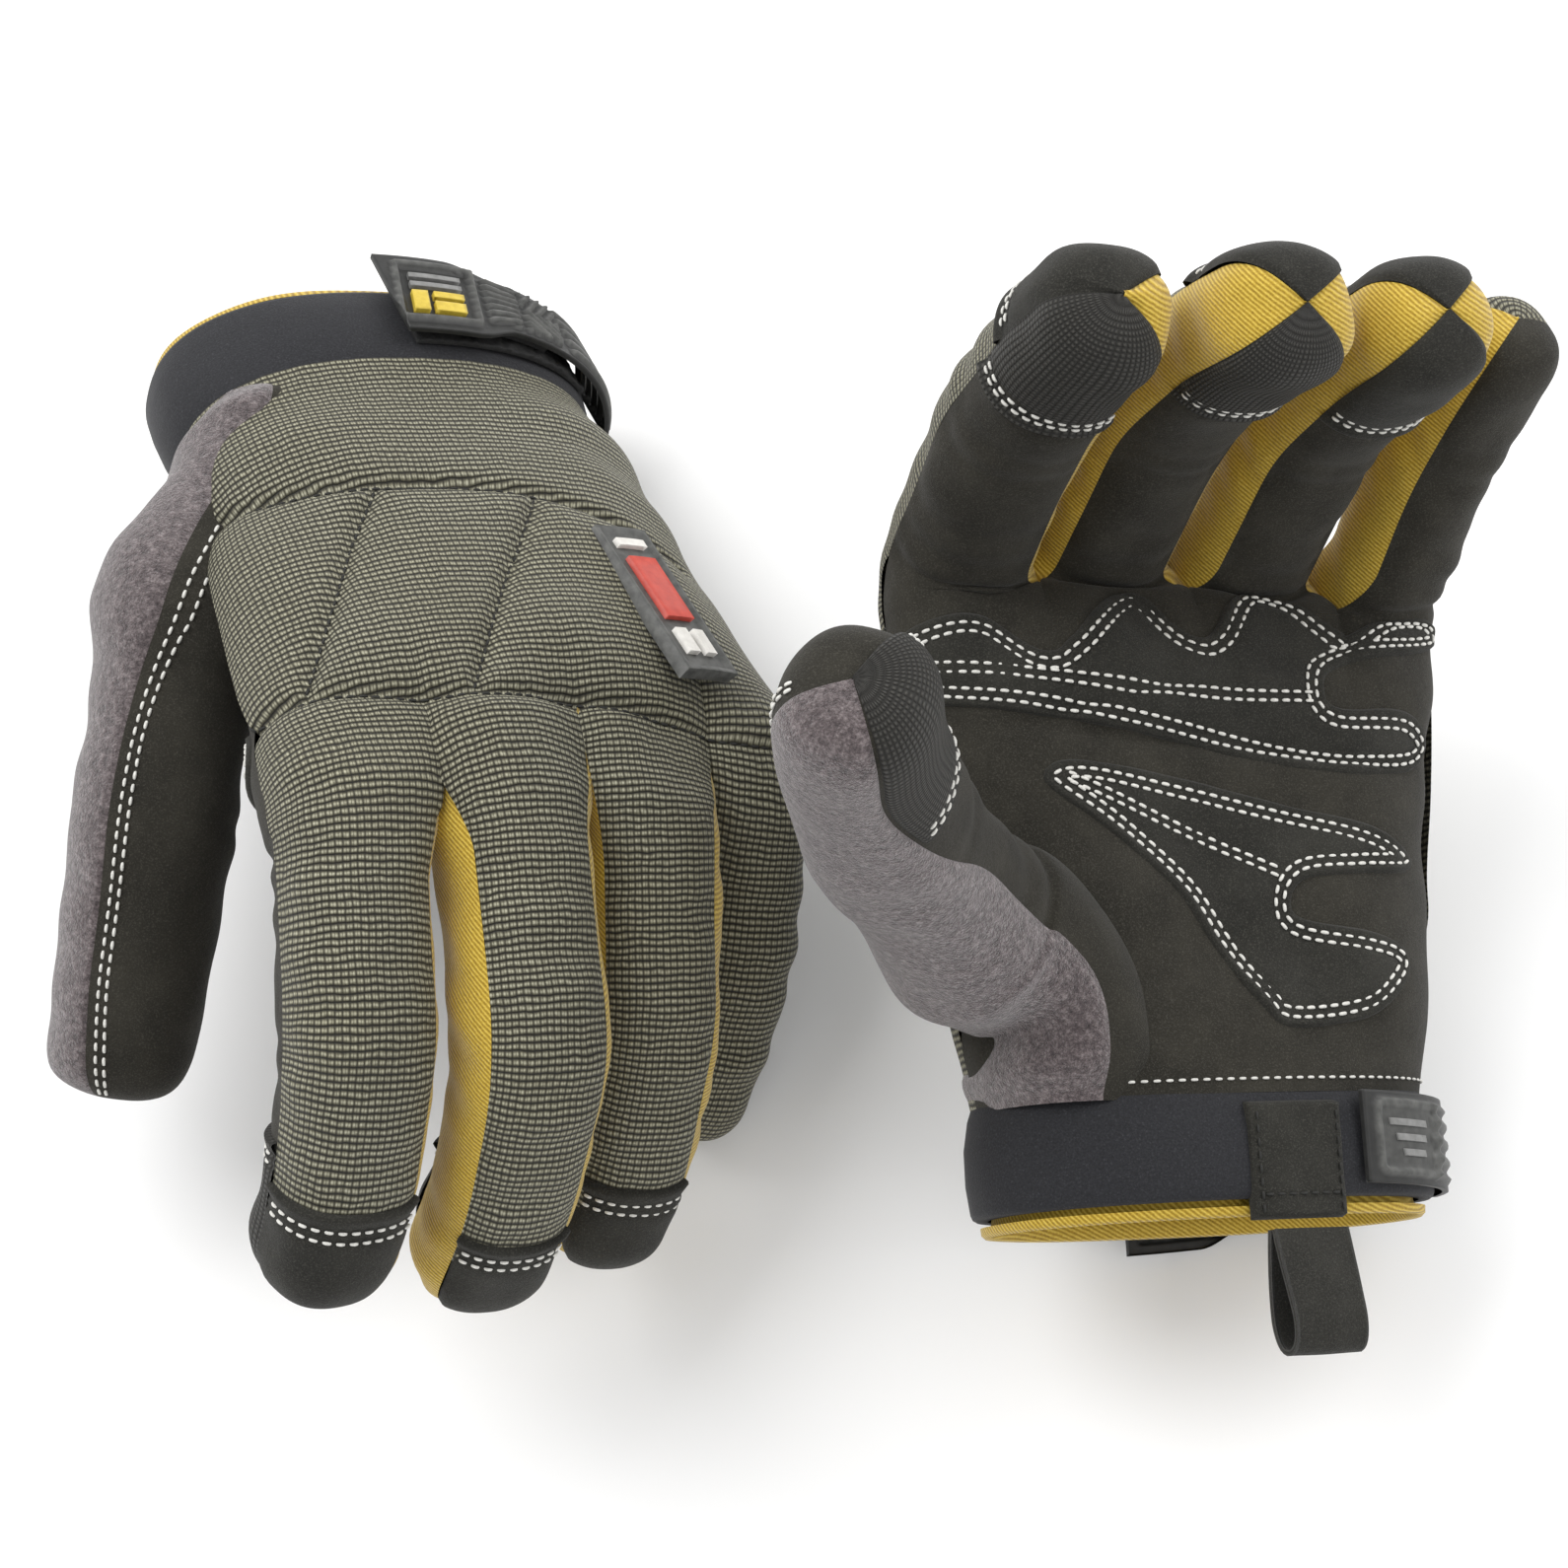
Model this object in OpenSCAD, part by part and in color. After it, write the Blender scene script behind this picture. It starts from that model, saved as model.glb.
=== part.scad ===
// A pair of insulated work gloves at rest on a table, in millimetres, +Z up.
// Glove a lies palm down with its fingers towards -Y, glove b lies palm up with its fingers towards +Y.
// The origin is under the middle of both gloves, on the table.

/* [Hand] */
// Width of the hand at the wrist seam
wrist_w = 84; // [78:1:88]
// Width of the hand at the knuckles
knuckle_w = 104; // [100:1:108]
// Thickness of the hand at the wrist seam
wrist_t = 46; // [44:1:50]
// Thickness of the hand at the knuckles
knuckle_t = 38; // [36:1:42]
// Length of the hand panels from the wrist seam to the knuckle edge
hand_len = 90; // [88:0.5:90.5]
// Wall of the outer panels
wall = 2; // [1.6:0.1:2.2]
// Wall of the inner lining
lining_t = 1.2; // [0.8:0.1:1.6]

/* [Fingers] */
// Length of the index finger from its hinge line to the tip
index_len = 80; // [76:1:84]
// Length of the middle finger
middle_len = 90; // [86:1:94]
// Length of the ring finger
ring_len = 84; // [80:1:88]
// Length of the little finger
little_len = 66; // [62:1:70]
// Length of the thumb from its hinge line to the tip
thumb_len = 88; // [84:1:92]
// Half width of the middle finger
finger_r = 12.9; // [12.4:0.1:13]
// Half width of the thumb
thumb_r = 14; // [13:0.1:14.4]
// Length of the dark caps over the back of the fingertips
cap_len = 26; // [22:1:30]
// Thickness of caps, patches and gussets
patch_t = 1; // [0.7:0.1:1.3]

/* [Cuff and strap] */
// Height of the elastic cuff band
cuff_h = 22; // [20:1:24]
// Wall of the cuff band
cuff_t = 2.4; // [2:0.1:3]
// How far the lining shows past the cuff
lining_out = 2.5; // [1:0.5:4]
// Width of the moulded wrist strap
strap_w = 16; // [14:1:17]
// Thickness of the moulded wrist strap
strap_t = 2.6; // [2:0.1:3]
// Width of the webbing pull loop
loop_w = 16; // [14:1:18]
// How far the pull loop stands out past the cuff
loop_out = 20; // [16:1:24]

/* [Hidden] */
M = 16;
ee = 0.86;
gap = 0.12;
// Digit rows: hinge point, splay, roll, length, half width, half thickness, turn of the section
function digit_index() = [[41, 98, -3], 3, 0, index_len, finger_r, finger_r * 0.97, -8];
function digit_middle() = [[13, 100.5, 0], 1, 0, middle_len, finger_r + 0.1, finger_r * 0.98, 0];
function digit_ring() = [[-15, 98, -2], -1, 0, ring_len, finger_r - 0.3, finger_r * 0.96, 8];
function digit_little() = [[-41.5, 92, -7], -4, 3, little_len, finger_r - 1.9, finger_r * 0.86, 16];
function digit_thumb() = [[46, 30, -14], 22, -6, thumb_len, thumb_r, thumb_r * 0.95, -45];
// Bends of index, middle, ring, little and thumb: splay change, then bend at base, middle and end
A = [[2, 34, 28, 18], [2, 32, 41, 17], [4, 45, 22, 16], [5, 58, 11, 14], [0, 38, 9, 10]];
B = [[-2, 62, 17, 8], [-2, 62, 24, 10], [-2, 58, 24, 8], [-2, 47, 14, 6], [46, 44, 12, 9]];
olive = [0.3, 0.29, 0.22];
black = [0.06, 0.055, 0.05];
yellow = [0.75, 0.55, 0.1];
grey = [0.2, 0.2, 0.19];
fleece_c = [0.2, 0.17, 0.17];
navy = [0.05, 0.05, 0.07];

function clamp01(v) = min(1, max(0, v));
function pw(v) = (v < 0 ? -1 : 1) * pow(abs(v), ee);
function mix(a, b, t) = a + (b - a) * t;
// Bend angle at distance s along a digit
function bend(s, L, f) = f[1] * clamp01((s + 12) / 18)
  + f[2] * clamp01((s - L * 0.42 + 9) / 18) + f[3] * clamp01((s - L * 0.72 + 7) / 14);
// Start frame of a digit: side, forward and up directions
function fwd(y) = [sin(y), cos(y), 0];
function side0(y) = [cos(y), -sin(y), 0];
function up0(y, r) = cos(r) * [0, 0, 1] - sin(r) * side0(y);
function lat(y, r) = cross(fwd(y), up0(y, r));
function dir(s, d, f) = let (y = d[1] + f[0], q = bend(s, d[3], f))
  cos(q) * fwd(y) - sin(q) * up0(y, d[2]);
function upv(s, d, f) = let (y = d[1] + f[0], q = bend(s, d[3], f))
  cos(q) * up0(y, d[2]) + sin(q) * fwd(y);
// Point on the centre line at distance s
STEP = 4;
function line_at(s, d, f) = let (
  n = max(1, ceil(abs(s) / STEP)),
  h = s / n,
  parts = [for (i = [0:n - 1]) dir((i + 0.5) * h, d, f) * h]
) d[0] + total(parts);
function total(v, i = 0) = i < len(v) ? v[i] + total(v, i + 1) : [0, 0, 0];
function taper(s, L) = 1 - 0.1 * clamp01(s / L);
// Stations of a digit: distance, tip angle
function stations(L, r, s0) = concat(
  [for (i = [0:6]) [s0 + (L - r - s0) * i / 6, 0]],
  [for (a = [28, 55, 78]) [L - r, a]]
);
function ring(st, d, f, off) = let (
  k = taper(st[0], d[3]),
  ra = (d[4] * k + off) * cos(st[1]),
  rb = (d[5] * k + off) * cos(st[1]),
  s = st[0],
  c = line_at(s, d, f) + dir(s, d, f) * (d[5] * k + off) * sin(st[1]),
  u0 = lat(d[1] + f[0], d[2]),
  n0 = upv(s, d, f),
  u = cos(d[6]) * u0 - sin(d[6]) * n0,
  n = cos(d[6]) * n0 + sin(d[6]) * u0
) [for (j = [0:M - 1]) c + u * ra * pw(cos(360 * j / M)) + n * rb * pw(sin(360 * j / M))];

// Closed solid between two grids of points that share their rows and columns
module slab(P, Q) {
  r = len(P);
  c = len(P[0]);
  n = r * c;
  pts = concat([for (row = P) each row], [for (row = Q) each row]);
  polyhedron(pts, concat(
    [for (i = [0:r - 2], j = [0:c - 2]) each [
      [i * c + j, i * c + j + 1, (i + 1) * c + j + 1],
      [i * c + j, (i + 1) * c + j + 1, (i + 1) * c + j]]],
    [for (i = [0:r - 2], j = [0:c - 2]) each [
      [n + i * c + j, n + (i + 1) * c + j + 1, n + i * c + j + 1],
      [n + i * c + j, n + (i + 1) * c + j, n + (i + 1) * c + j + 1]]],
    [for (j = [0:c - 2]) each [
      [j, n + j, n + j + 1],
      [j, n + j + 1, j + 1]]],
    [for (j = [0:c - 2]) let (a = (r - 1) * c + j) each [
      [a, a + 1, n + a + 1],
      [a, n + a + 1, n + a]]],
    [for (i = [0:r - 2]) let (a = i * c, b = (i + 1) * c) each [
      [a, b, n + b],
      [a, n + b, n + a]]],
    [for (i = [0:r - 2]) let (a = i * c + c - 1, b = (i + 1) * c + c - 1) each [
      [a, n + b, b],
      [a, n + a, n + b]]]
  ), convexity = 8);
}
// Hollow tube between outer rings P and inner rings Q, with a closed far end when tip is true
module tube(P, Q, tip) {
  r = len(P);
  c = len(P[0]);
  n = r * c;
  e = (r - 1) * c;
  pts = concat([for (row = P) each row], [for (row = Q) each row]);
  polyhedron(pts, concat(
    [for (i = [0:r - 2], j = [0:c - 1]) let (k = (j + 1) % c) each [
      [i * c + j, i * c + k, (i + 1) * c + k],
      [i * c + j, (i + 1) * c + k, (i + 1) * c + j]]],
    [for (i = [0:r - 2], j = [0:c - 1]) let (k = (j + 1) % c) each [
      [n + i * c + j, n + (i + 1) * c + k, n + i * c + k],
      [n + i * c + j, n + (i + 1) * c + j, n + (i + 1) * c + k]]],
    [for (j = [0:c - 1]) let (k = (j + 1) % c) each [
      [j, n + j, n + k],
      [j, n + k, k]]],
    tip ? [for (j = [1:c - 2]) [e, e + j, e + j + 1]]
      : [for (j = [0:c - 1]) let (k = (j + 1) % c) [e + j, e + k, n + e + k]],
    tip ? [for (j = [1:c - 2]) [n + e, n + e + j + 1, n + e + j]]
      : [for (j = [0:c - 1]) let (k = (j + 1) % c) [e + j, n + e + k, n + e + j]]
  ), convexity = 8);
}
function pick(row, lo, hi) = [for (j = [lo:hi]) row[(j + 2 * M) % M]];

// Hollow stall of one digit
module stall(d, f, s0) {
  st = stations(d[3], d[5], s0);
  tube([for (t = st) ring(t, d, f, 0)], [for (t = st) ring(t, d, f, -wall)], true);
}
// Piece lying on a stall from station i0 to i1 and column j0 to j1
module overlay(d, f, s0, i0, i1, j0, j1, lift = gap) {
  st = stations(d[3], d[5], s0);
  slab([for (i = [i0:i1]) pick(ring(st[i], d, f, lift + patch_t), j0, j1)],
    [for (i = [i0:i1]) pick(ring(st[i], d, f, lift), j0, j1)]);
}
// Rings of a cap that ends cap_len from the tip
module tip_cap(d, f, j0, j1, long) {
  k = d[3] - d[5];
  st = concat([for (m = [0:2]) [mix(d[3] - long, k, m / 2), 0]], [for (a = [28, 55, 78]) [k, a]]);
  slab([for (t = st) pick(ring(t, d, f, 4 * gap + patch_t), j0, j1)],
    [for (t = st) pick(ring(t, d, f, 4 * gap), j0, j1)]);
}
// Three points of a row with the outer two drawn towards the middle one
function narrow(row) = [mix(row[0], row[1], 0.2), row[1], mix(row[2], row[1], 0.2)];
// Side strip along a digit between two columns
module gusset(d, f, j0, j1) {
  st = stations(d[3], d[5], 6);
  slab([for (i = [0:6]) narrow(pick(ring(st[i], d, f, gap + patch_t), j0, j1))],
    [for (i = [0:6]) narrow(pick(ring(st[i], d, f, gap), j0, j1))]);
}

// Hand section at height y, with a palm side that is a little flatter
function hw(y) = mix(wrist_w, knuckle_w, pow(clamp01(y / hand_len), 0.9)) / 2;
function ht(y) = mix(wrist_t, knuckle_t, clamp01(y / hand_len)) / 2;
function arch(y, c) = -6 * clamp01(y / hand_len) * pow(max(0, -c), 2);
function hp(y, t, off, x = 1) = [
  (hw(y) + off) * pw(cos(t)),
  y,
  (ht(y) * x + off) * pw(sin(t)) + arch(y, cos(t))
];
function hrow(y, t0, t1, n, off) = [for (j = [0:n]) hp(y, mix(t0, t1, j / n), off)];
HY = [0.6, 18, 36, 54, 72, 90];
module hand_slab(t0, t1, n, y0, y1, o0, o1, rows = 4) {
  ys = [for (i = [0:rows]) mix(y0, y1, i / rows)];
  slab([for (y = ys) hrow(y, t0, t1, n, o1)], [for (y = ys) hrow(y, t0, t1, n, o0)]);
}
module hand_tube(y0, y1, o0, o1, rows) {
  ys = [for (i = [0:rows]) mix(y0, y1, i / rows)];
  tube([for (y = ys) [for (j = [0:23]) hp(y, 15 * j, o1)]],
    [for (y = ys) [for (j = [0:23]) hp(y, 15 * j, o0)]], false);
}
module back_panel() {
  hand_slab(6, 178, 12, 0.6, hand_len, -wall, 0, 5);
}
module palm_panel() {
  hand_slab(182, 300, 10, 0.6, hand_len, -wall, 0, 5);
}
module lining() {
  tube([for (y = [-cuff_h - lining_out, -8, 0.6, 12]) [for (j = [0:23]) hp(y, 15 * j, -wall - 0.3)]],
    [for (y = [-cuff_h - lining_out, -8, 0.6, 12])
      [for (j = [0:23]) hp(y, 15 * j, -wall - 0.3 - lining_t)]],
    false);
}
module cuff() {
  tube([for (y = [-cuff_h, -cuff_h / 2, 0]) [for (j = [0:23]) hp(y, 15 * j, -wall + 0.1 + cuff_t)]],
    [for (y = [-cuff_h, -cuff_h / 2, 0]) [for (j = [0:23]) hp(y, 15 * j, -wall)]], false);
}
// Strip round the cuff between two angles, leaning by lean towards the free edge at its far end
function strip(t0, t1, n, yc0, yc1, w, off) = [for (k = [-0.5, 0.5])
  [for (j = [0:n]) hp(mix(yc0, yc1, j / n) + k * w, mix(t0, t1, j / n), off)]];
cuff_o = cuff_t - wall + 0.1;
hook_o = cuff_o + 1.5;
module strap() {
  slab([for (r = [1, 0]) strip(172, 90, 9, -10, -14, strap_w, hook_o + 1.6 + strap_t)[r]],
    [for (r = [1, 0]) strip(172, 90, 9, -10, -14, strap_w, hook_o + 1.6)[r]]);
}
module hook_pad() {
  slab([for (r = [1, 0]) strip(126, 94, 4, -12.1, -13.8, strap_w - 2, hook_o + 1.5)[r]],
    [for (r = [1, 0]) strip(126, 94, 4, -12.1, -13.8, strap_w - 2, hook_o + 0.5)[r]]);
}
module loop_patch() {
  slab([for (r = [1, 0]) strip(150, 78, 8, -11.5, -11.5, strap_w + 2, hook_o)[r]],
    [for (r = [1, 0]) strip(150, 78, 8, -11.5, -11.5, strap_w + 2, cuff_o + 0.3)[r]]);
}
module strap_anchor() {
  slab([for (r = [1, 0]) strip(248, 183, 8, -8, -10, strap_w, cuff_o + 3.4)[r]],
    [for (r = [1, 0]) strip(248, 183, 8, -8, -10, strap_w, cuff_o + 0.5)[r]]);
}
module back_badge() {
  slab([for (i = [0:2]) [for (j = [0:4]) hp(84 - 18 * i - 0.5 * j, 111 - 2 * i + 4 * j, 2.4)]],
    [for (i = [0:2]) [for (j = [0:4]) hp(84 - 18 * i - 0.5 * j, 111 - 2 * i + 4 * j, 0.3)]]);
}
pad_lift = 0.6;
module palm_pad_upper() {
  hand_slab(188, 297, 9, 58, hand_len - 1, pad_lift, pad_lift + patch_t, 2);
}
module palm_pad_lower() {
  hand_slab(196, 266, 6, 16, 54, pad_lift, pad_lift + patch_t, 2);
}
// Strip of the pull loop that is sewn flat on the cuff
loop_t0 = 253;
loop_t1 = 273;
module loop_tab() {
  y = -cuff_h / 2 - 0.5;
  slab([for (r = [0, 1]) strip(loop_t0, loop_t1, 3, y, y, cuff_h - 3, cuff_o + 1.5)[r]],
    [for (r = [0, 1]) strip(loop_t0, loop_t1, 3, y, y, cuff_h - 3, cuff_o + 0.3)[r]]);
}
// Flat band folded back on itself, free of the cuff
module pull_loop(q, r) {
  c = hp(-cuff_h, (loop_t0 + loop_t1) / 2, cuff_o + 0.7);
  side = [for (k = [0:3]) [mix(0.75, 2.4, k / 3), -loop_out * k / 3]];
  turn = [for (k = [1:5]) [2.4 * cos(30 * k), -loop_out - 2.4 * sin(30 * k)]];
  back = [for (k = [3:-1:0]) [-mix(0.75, 2.4, k / 3), -loop_out * k / 3]];
  mid = concat(side, turn, back);
  g = len(mid);
  nrm = [for (k = [0:g - 1]) let (
    v = mid[min(g - 1, k + 1)] - mid[max(0, k - 1)]
  ) [-v[1], v[0]] / norm(v)];
  o = [for (x = [0.5, -0.5]) [for (k = [0:g - 1]) let (m = mid[k] + nrm[k] * 0.6)
    [x * loop_w, m[1], m[0]]]];
  n = [for (x = [0.5, -0.5]) [for (k = [0:g - 1]) let (m = mid[k] - nrm[k] * 0.6)
    [x * loop_w, m[1], m[0]]]];
  translate([c[0], -cuff_h - 1.6, c[2]]) rotate([q, r, 0]) slab(o, n);
}

S0 = 6.5;
S1 = 11;
T0 = 4;
module place_a() {
  translate([-78.1, 71.1, 37.85]) rotate([0, 0, 25]) rotate([-18.5, 0, 0]) rotate([0, 30, 0])
    rotate([0, 0, 180]) children();
}
module place_b() {
  translate([71.9, -56.9, 35.55]) rotate([0, 0, 3]) rotate([9, 0, 0]) rotate([0, 18, 0])
    rotate([0, 180, 0]) children();
}

module a_back_panel() color(olive) place_a() back_panel();
module a_palm_panel() color(black) place_a() palm_panel();
module a_lining() color(yellow) place_a() lining();
module a_cuff() color(navy) place_a() cuff();
module a_strap() color(grey) place_a() strap();
module a_hook_pad() color(black) place_a() hook_pad();
module a_loop_patch() color(black) place_a() loop_patch();
module a_strap_anchor() color(grey) place_a() strap_anchor();
module a_back_badge() color(grey) place_a() back_badge();
module a_loop_tab() color(black) place_a() loop_tab();
module a_pull_loop() color(black) place_a() pull_loop(-14, 10);
module a_palm_pad_upper() color(black) place_a() palm_pad_upper();
module a_palm_pad_lower() color(black) place_a() palm_pad_lower();
module a_index_stall() color(olive) place_a() stall(digit_index(), A[0], S0);
module a_middle_stall() color(olive) place_a() stall(digit_middle(), A[1], S0);
module a_ring_stall() color(olive) place_a() stall(digit_ring(), A[2], S0);
module a_little_stall() color(olive) place_a() stall(digit_little(), A[3], S1);
module a_thumb_stall() color(black) place_a() stall(digit_thumb(), A[4], T0);
module a_index_cap() color(black) place_a() tip_cap(digit_index(), A[0], 1, 7, cap_len);
module a_middle_cap() color(black) place_a() tip_cap(digit_middle(), A[1], 1, 7, cap_len);
module a_ring_cap() color(black) place_a() tip_cap(digit_ring(), A[2], 1, 7, cap_len);
module a_index_grip() color(black) place_a() tip_cap(digit_index(), A[0], 9, 15, cap_len + 2);
module a_middle_grip() color(black) place_a() tip_cap(digit_middle(), A[1], 9, 15, cap_len + 2);
module a_ring_grip() color(black) place_a() tip_cap(digit_ring(), A[2], 9, 15, cap_len + 2);
module a_thumb_grip() color(black) place_a() tip_cap(digit_thumb(), A[4], 7, 12, cap_len + 8);
module a_thumb_fleece() color(fleece_c) place_a() overlay(digit_thumb(), A[4], T0, 0, 8, -1, 6);
module a_index_gusset() color(yellow) place_a() gusset(digit_index(), A[0], 7, 9);
module a_middle_gusset() color(yellow) place_a() gusset(digit_middle(), A[1], 7, 9);
module a_ring_gusset() color(yellow) place_a() gusset(digit_ring(), A[2], 7, 9);

module b_back_panel() color(olive) place_b() back_panel();
module b_palm_panel() color(black) place_b() palm_panel();
module b_lining() color(yellow) place_b() lining();
module b_cuff() color(navy) place_b() cuff();
module b_strap() color(grey) place_b() strap();
module b_hook_pad() color(black) place_b() hook_pad();
module b_loop_patch() color(black) place_b() loop_patch();
module b_strap_anchor() color(grey) place_b() strap_anchor();
module b_back_badge() color(grey) place_b() back_badge();
module b_loop_tab() color(black) place_b() loop_tab();
module b_pull_loop() color(black) place_b() pull_loop(4, 11);
module b_palm_pad_upper() color(black) place_b() palm_pad_upper();
module b_palm_pad_lower() color(black) place_b() palm_pad_lower();
module b_index_stall() color(black) place_b() stall(digit_index(), B[0], S0);
module b_middle_stall() color(black) place_b() stall(digit_middle(), B[1], S0);
module b_ring_stall() color(black) place_b() stall(digit_ring(), B[2], S0);
module b_little_stall() color(black) place_b() stall(digit_little(), B[3], S1);
module b_thumb_stall() color(black) place_b() stall(digit_thumb(), B[4], T0);
module b_index_cap() color(black) place_b() tip_cap(digit_index(), B[0], 1, 7, cap_len);
module b_middle_cap() color(black) place_b() tip_cap(digit_middle(), B[1], 1, 7, cap_len);
module b_ring_cap() color(black) place_b() tip_cap(digit_ring(), B[2], 1, 7, cap_len);
module b_index_grip() color(black) place_b() tip_cap(digit_index(), B[0], 9, 15, cap_len + 2);
module b_middle_grip() color(black) place_b() tip_cap(digit_middle(), B[1], 9, 15, cap_len + 2);
module b_ring_grip() color(black) place_b() tip_cap(digit_ring(), B[2], 9, 15, cap_len + 2);
module b_thumb_grip() color(black) place_b() tip_cap(digit_thumb(), B[4], 7, 12, cap_len + 8);
module b_thumb_fleece() color(fleece_c) place_b() overlay(digit_thumb(), B[4], T0, 0, 8, -1, 6);
module b_index_gusset() color(yellow) place_b() gusset(digit_index(), B[0], 7, 9);
module b_middle_gusset() color(yellow) place_b() gusset(digit_middle(), B[1], 7, 9);
module b_ring_gusset() color(yellow) place_b() gusset(digit_ring(), B[2], 7, 9);

a_back_panel();
a_palm_panel();
a_lining();
a_cuff();
a_strap();
a_hook_pad();
a_loop_patch();
a_strap_anchor();
a_back_badge();
a_loop_tab();
a_pull_loop();
a_palm_pad_upper();
a_palm_pad_lower();
a_index_stall();
a_middle_stall();
a_ring_stall();
a_little_stall();
a_thumb_stall();
a_index_cap();
a_middle_cap();
a_ring_cap();
a_index_grip();
a_middle_grip();
a_ring_grip();
a_thumb_grip();
a_thumb_fleece();
a_index_gusset();
a_middle_gusset();
a_ring_gusset();
b_back_panel();
b_palm_panel();
b_lining();
b_cuff();
b_strap();
b_hook_pad();
b_loop_patch();
b_strap_anchor();
b_back_badge();
b_loop_tab();
b_pull_loop();
b_palm_pad_upper();
b_palm_pad_lower();
b_index_stall();
b_middle_stall();
b_ring_stall();
b_little_stall();
b_thumb_stall();
b_index_cap();
b_middle_cap();
b_ring_cap();
b_index_grip();
b_middle_grip();
b_ring_grip();
b_thumb_grip();
b_thumb_fleece();
b_index_gusset();
b_middle_gusset();
b_ring_gusset();
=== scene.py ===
import math

import bpy
import numpy as np
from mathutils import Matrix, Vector
from mathutils.geometry import delaunay_2d_cdt


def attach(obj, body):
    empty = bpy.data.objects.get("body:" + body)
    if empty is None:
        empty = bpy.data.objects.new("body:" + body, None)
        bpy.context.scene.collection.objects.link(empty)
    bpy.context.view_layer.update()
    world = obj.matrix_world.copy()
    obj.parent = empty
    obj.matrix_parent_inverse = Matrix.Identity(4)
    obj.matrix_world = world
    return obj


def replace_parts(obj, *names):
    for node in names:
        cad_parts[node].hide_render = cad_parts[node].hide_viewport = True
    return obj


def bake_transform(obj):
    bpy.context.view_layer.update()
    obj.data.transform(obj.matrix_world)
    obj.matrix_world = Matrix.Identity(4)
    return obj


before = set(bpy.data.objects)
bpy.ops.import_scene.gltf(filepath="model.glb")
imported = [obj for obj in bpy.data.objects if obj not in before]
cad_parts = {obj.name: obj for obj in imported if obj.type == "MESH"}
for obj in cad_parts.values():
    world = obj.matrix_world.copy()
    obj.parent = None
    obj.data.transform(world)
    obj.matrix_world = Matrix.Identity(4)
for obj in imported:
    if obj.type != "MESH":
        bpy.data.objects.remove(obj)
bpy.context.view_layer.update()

# Sizes, in millimetres
WRIST_W, KNUCKLE_W, WRIST_T, KNUCKLE_T, HAND_LEN = 84.0, 104.0, 46.0, 38.0, 90.0
POWER = 0.86
FINGERS = ("index", "middle", "ring", "little")
# hinge point, splay, roll, length, half width, half thickness, turn of the section
DIGITS = {
    "index": ((41, 98, -3), 3, 0, 80, 12.9, 12.5, -8),
    "middle": ((13, 100.5, 0), 1, 0, 90, 13.0, 12.6, 0),
    "ring": ((-15, 98, -2), -1, 0, 84, 12.6, 12.4, 8),
    "little": ((-41.5, 92, -7), -4, 3, 66, 11.0, 11.1, 16),
    "thumb": ((46, 30, -14), 22, -6, 88, 14.0, 13.3, 0),
}
BENDS = {
    "a": {"index": (2, 34, 28, 18), "middle": (2, 32, 41, 17), "ring": (4, 45, 22, 16),
          "little": (5, 58, 11, 14), "thumb": (0, 38, 9, 10)},
    "b": {"index": (-2, 62, 17, 8), "middle": (-2, 62, 24, 10), "ring": (-2, 58, 24, 8),
          "little": (-2, 47, 14, 6), "thumb": (46, 44, 12, 9)},
}
# Seams of each finger: back panel from, back panel to, palm panel from, palm panel to, in degrees
SEAMS = {"index": (-4, 140, 216, 356), "middle": (38, 140, 218, 322),
         "ring": (38, 140, 218, 322), "little": (38, 186, 186, 322)}
# The same seams round the hand, then the height of the crotch after each finger
HAND_SEAMS = {"index": (2, 62, 298, 362), "middle": (62, 91, 269, 298),
              "ring": (91, 120, 240, 269), "little": (120, 182, 182, 240)}
CROTCH = {0: 92.0, 1: 92.0, 2: 88.0}
SPLIT = 88.0  # height where the hand's skins end and the fingers' begin
TIP_R = 11.0
CELL = 0.9
CUFF_MID = -12.0
PATCH_WIDE, THUMB_WIDE = 26, 60  # width given to a fingertip patch and to the thumb's suede, for the weave
CAP_LONG = {True: 22.0, False: 29.0}  # length of a fingertip's cap on the back, and of its grip


def rot(axis, degrees):
    c, s = math.cos(math.radians(degrees)), math.sin(math.radians(degrees))
    return np.array({"x": [[1, 0, 0], [0, c, -s], [0, s, c]],
                     "y": [[c, 0, s], [0, 1, 0], [-s, 0, c]],
                     "z": [[c, -s, 0], [s, c, 0], [0, 0, 1]]}[axis])


PLACES = {
    "a": (rot("z", 25) @ rot("x", -18.5) @ rot("y", 30) @ rot("z", 180), np.array([-78.1, 71.1, 37.85])),
    "b": (rot("z", 3) @ rot("x", 9) @ rot("y", 18) @ rot("y", 180), np.array([71.9, -56.9, 35.55])),
}


def place(points, g):
    """Points in the glove's own millimetres, moved to the row frame in metres."""
    turn, shift = PLACES[g]
    return (np.asarray(points, float) @ turn.T + shift) / 1000


def step(low, high, x):
    t = np.clip((np.asarray(x, float) - low) / (high - low), 0, 1)
    return t * t * (3 - 2 * t)


def power(v, e=POWER):
    return np.sign(v) * np.abs(v) ** e


def bump(x, centre, width):
    return np.exp(-(((np.asarray(x, float) - centre) / width) ** 2))


def run_along(points):
    """Distance along a line from its first point to each of its points."""
    return np.concatenate([[0], np.cumsum(np.linalg.norm(np.diff(points, axis=0), axis=1))])


WAVES = np.random.default_rng(7).normal(size=(40, 4))


def noise(p, size, seed=0):
    """Smooth pseudo-random values about -1 to 1 at points p, with lumps about this size."""
    rows = np.roll(WAVES, seed * 5, axis=0)[:12]
    return sum(np.sin((p @ w[:3]) * 2.2 / size + w[3] * 9 + seed) for w in rows) / 3.4


# Hand and digits
def half_w(y):
    return (WRIST_W + (KNUCKLE_W - WRIST_W) * np.clip(y / HAND_LEN, 0, 1) ** 0.9) / 2


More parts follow.
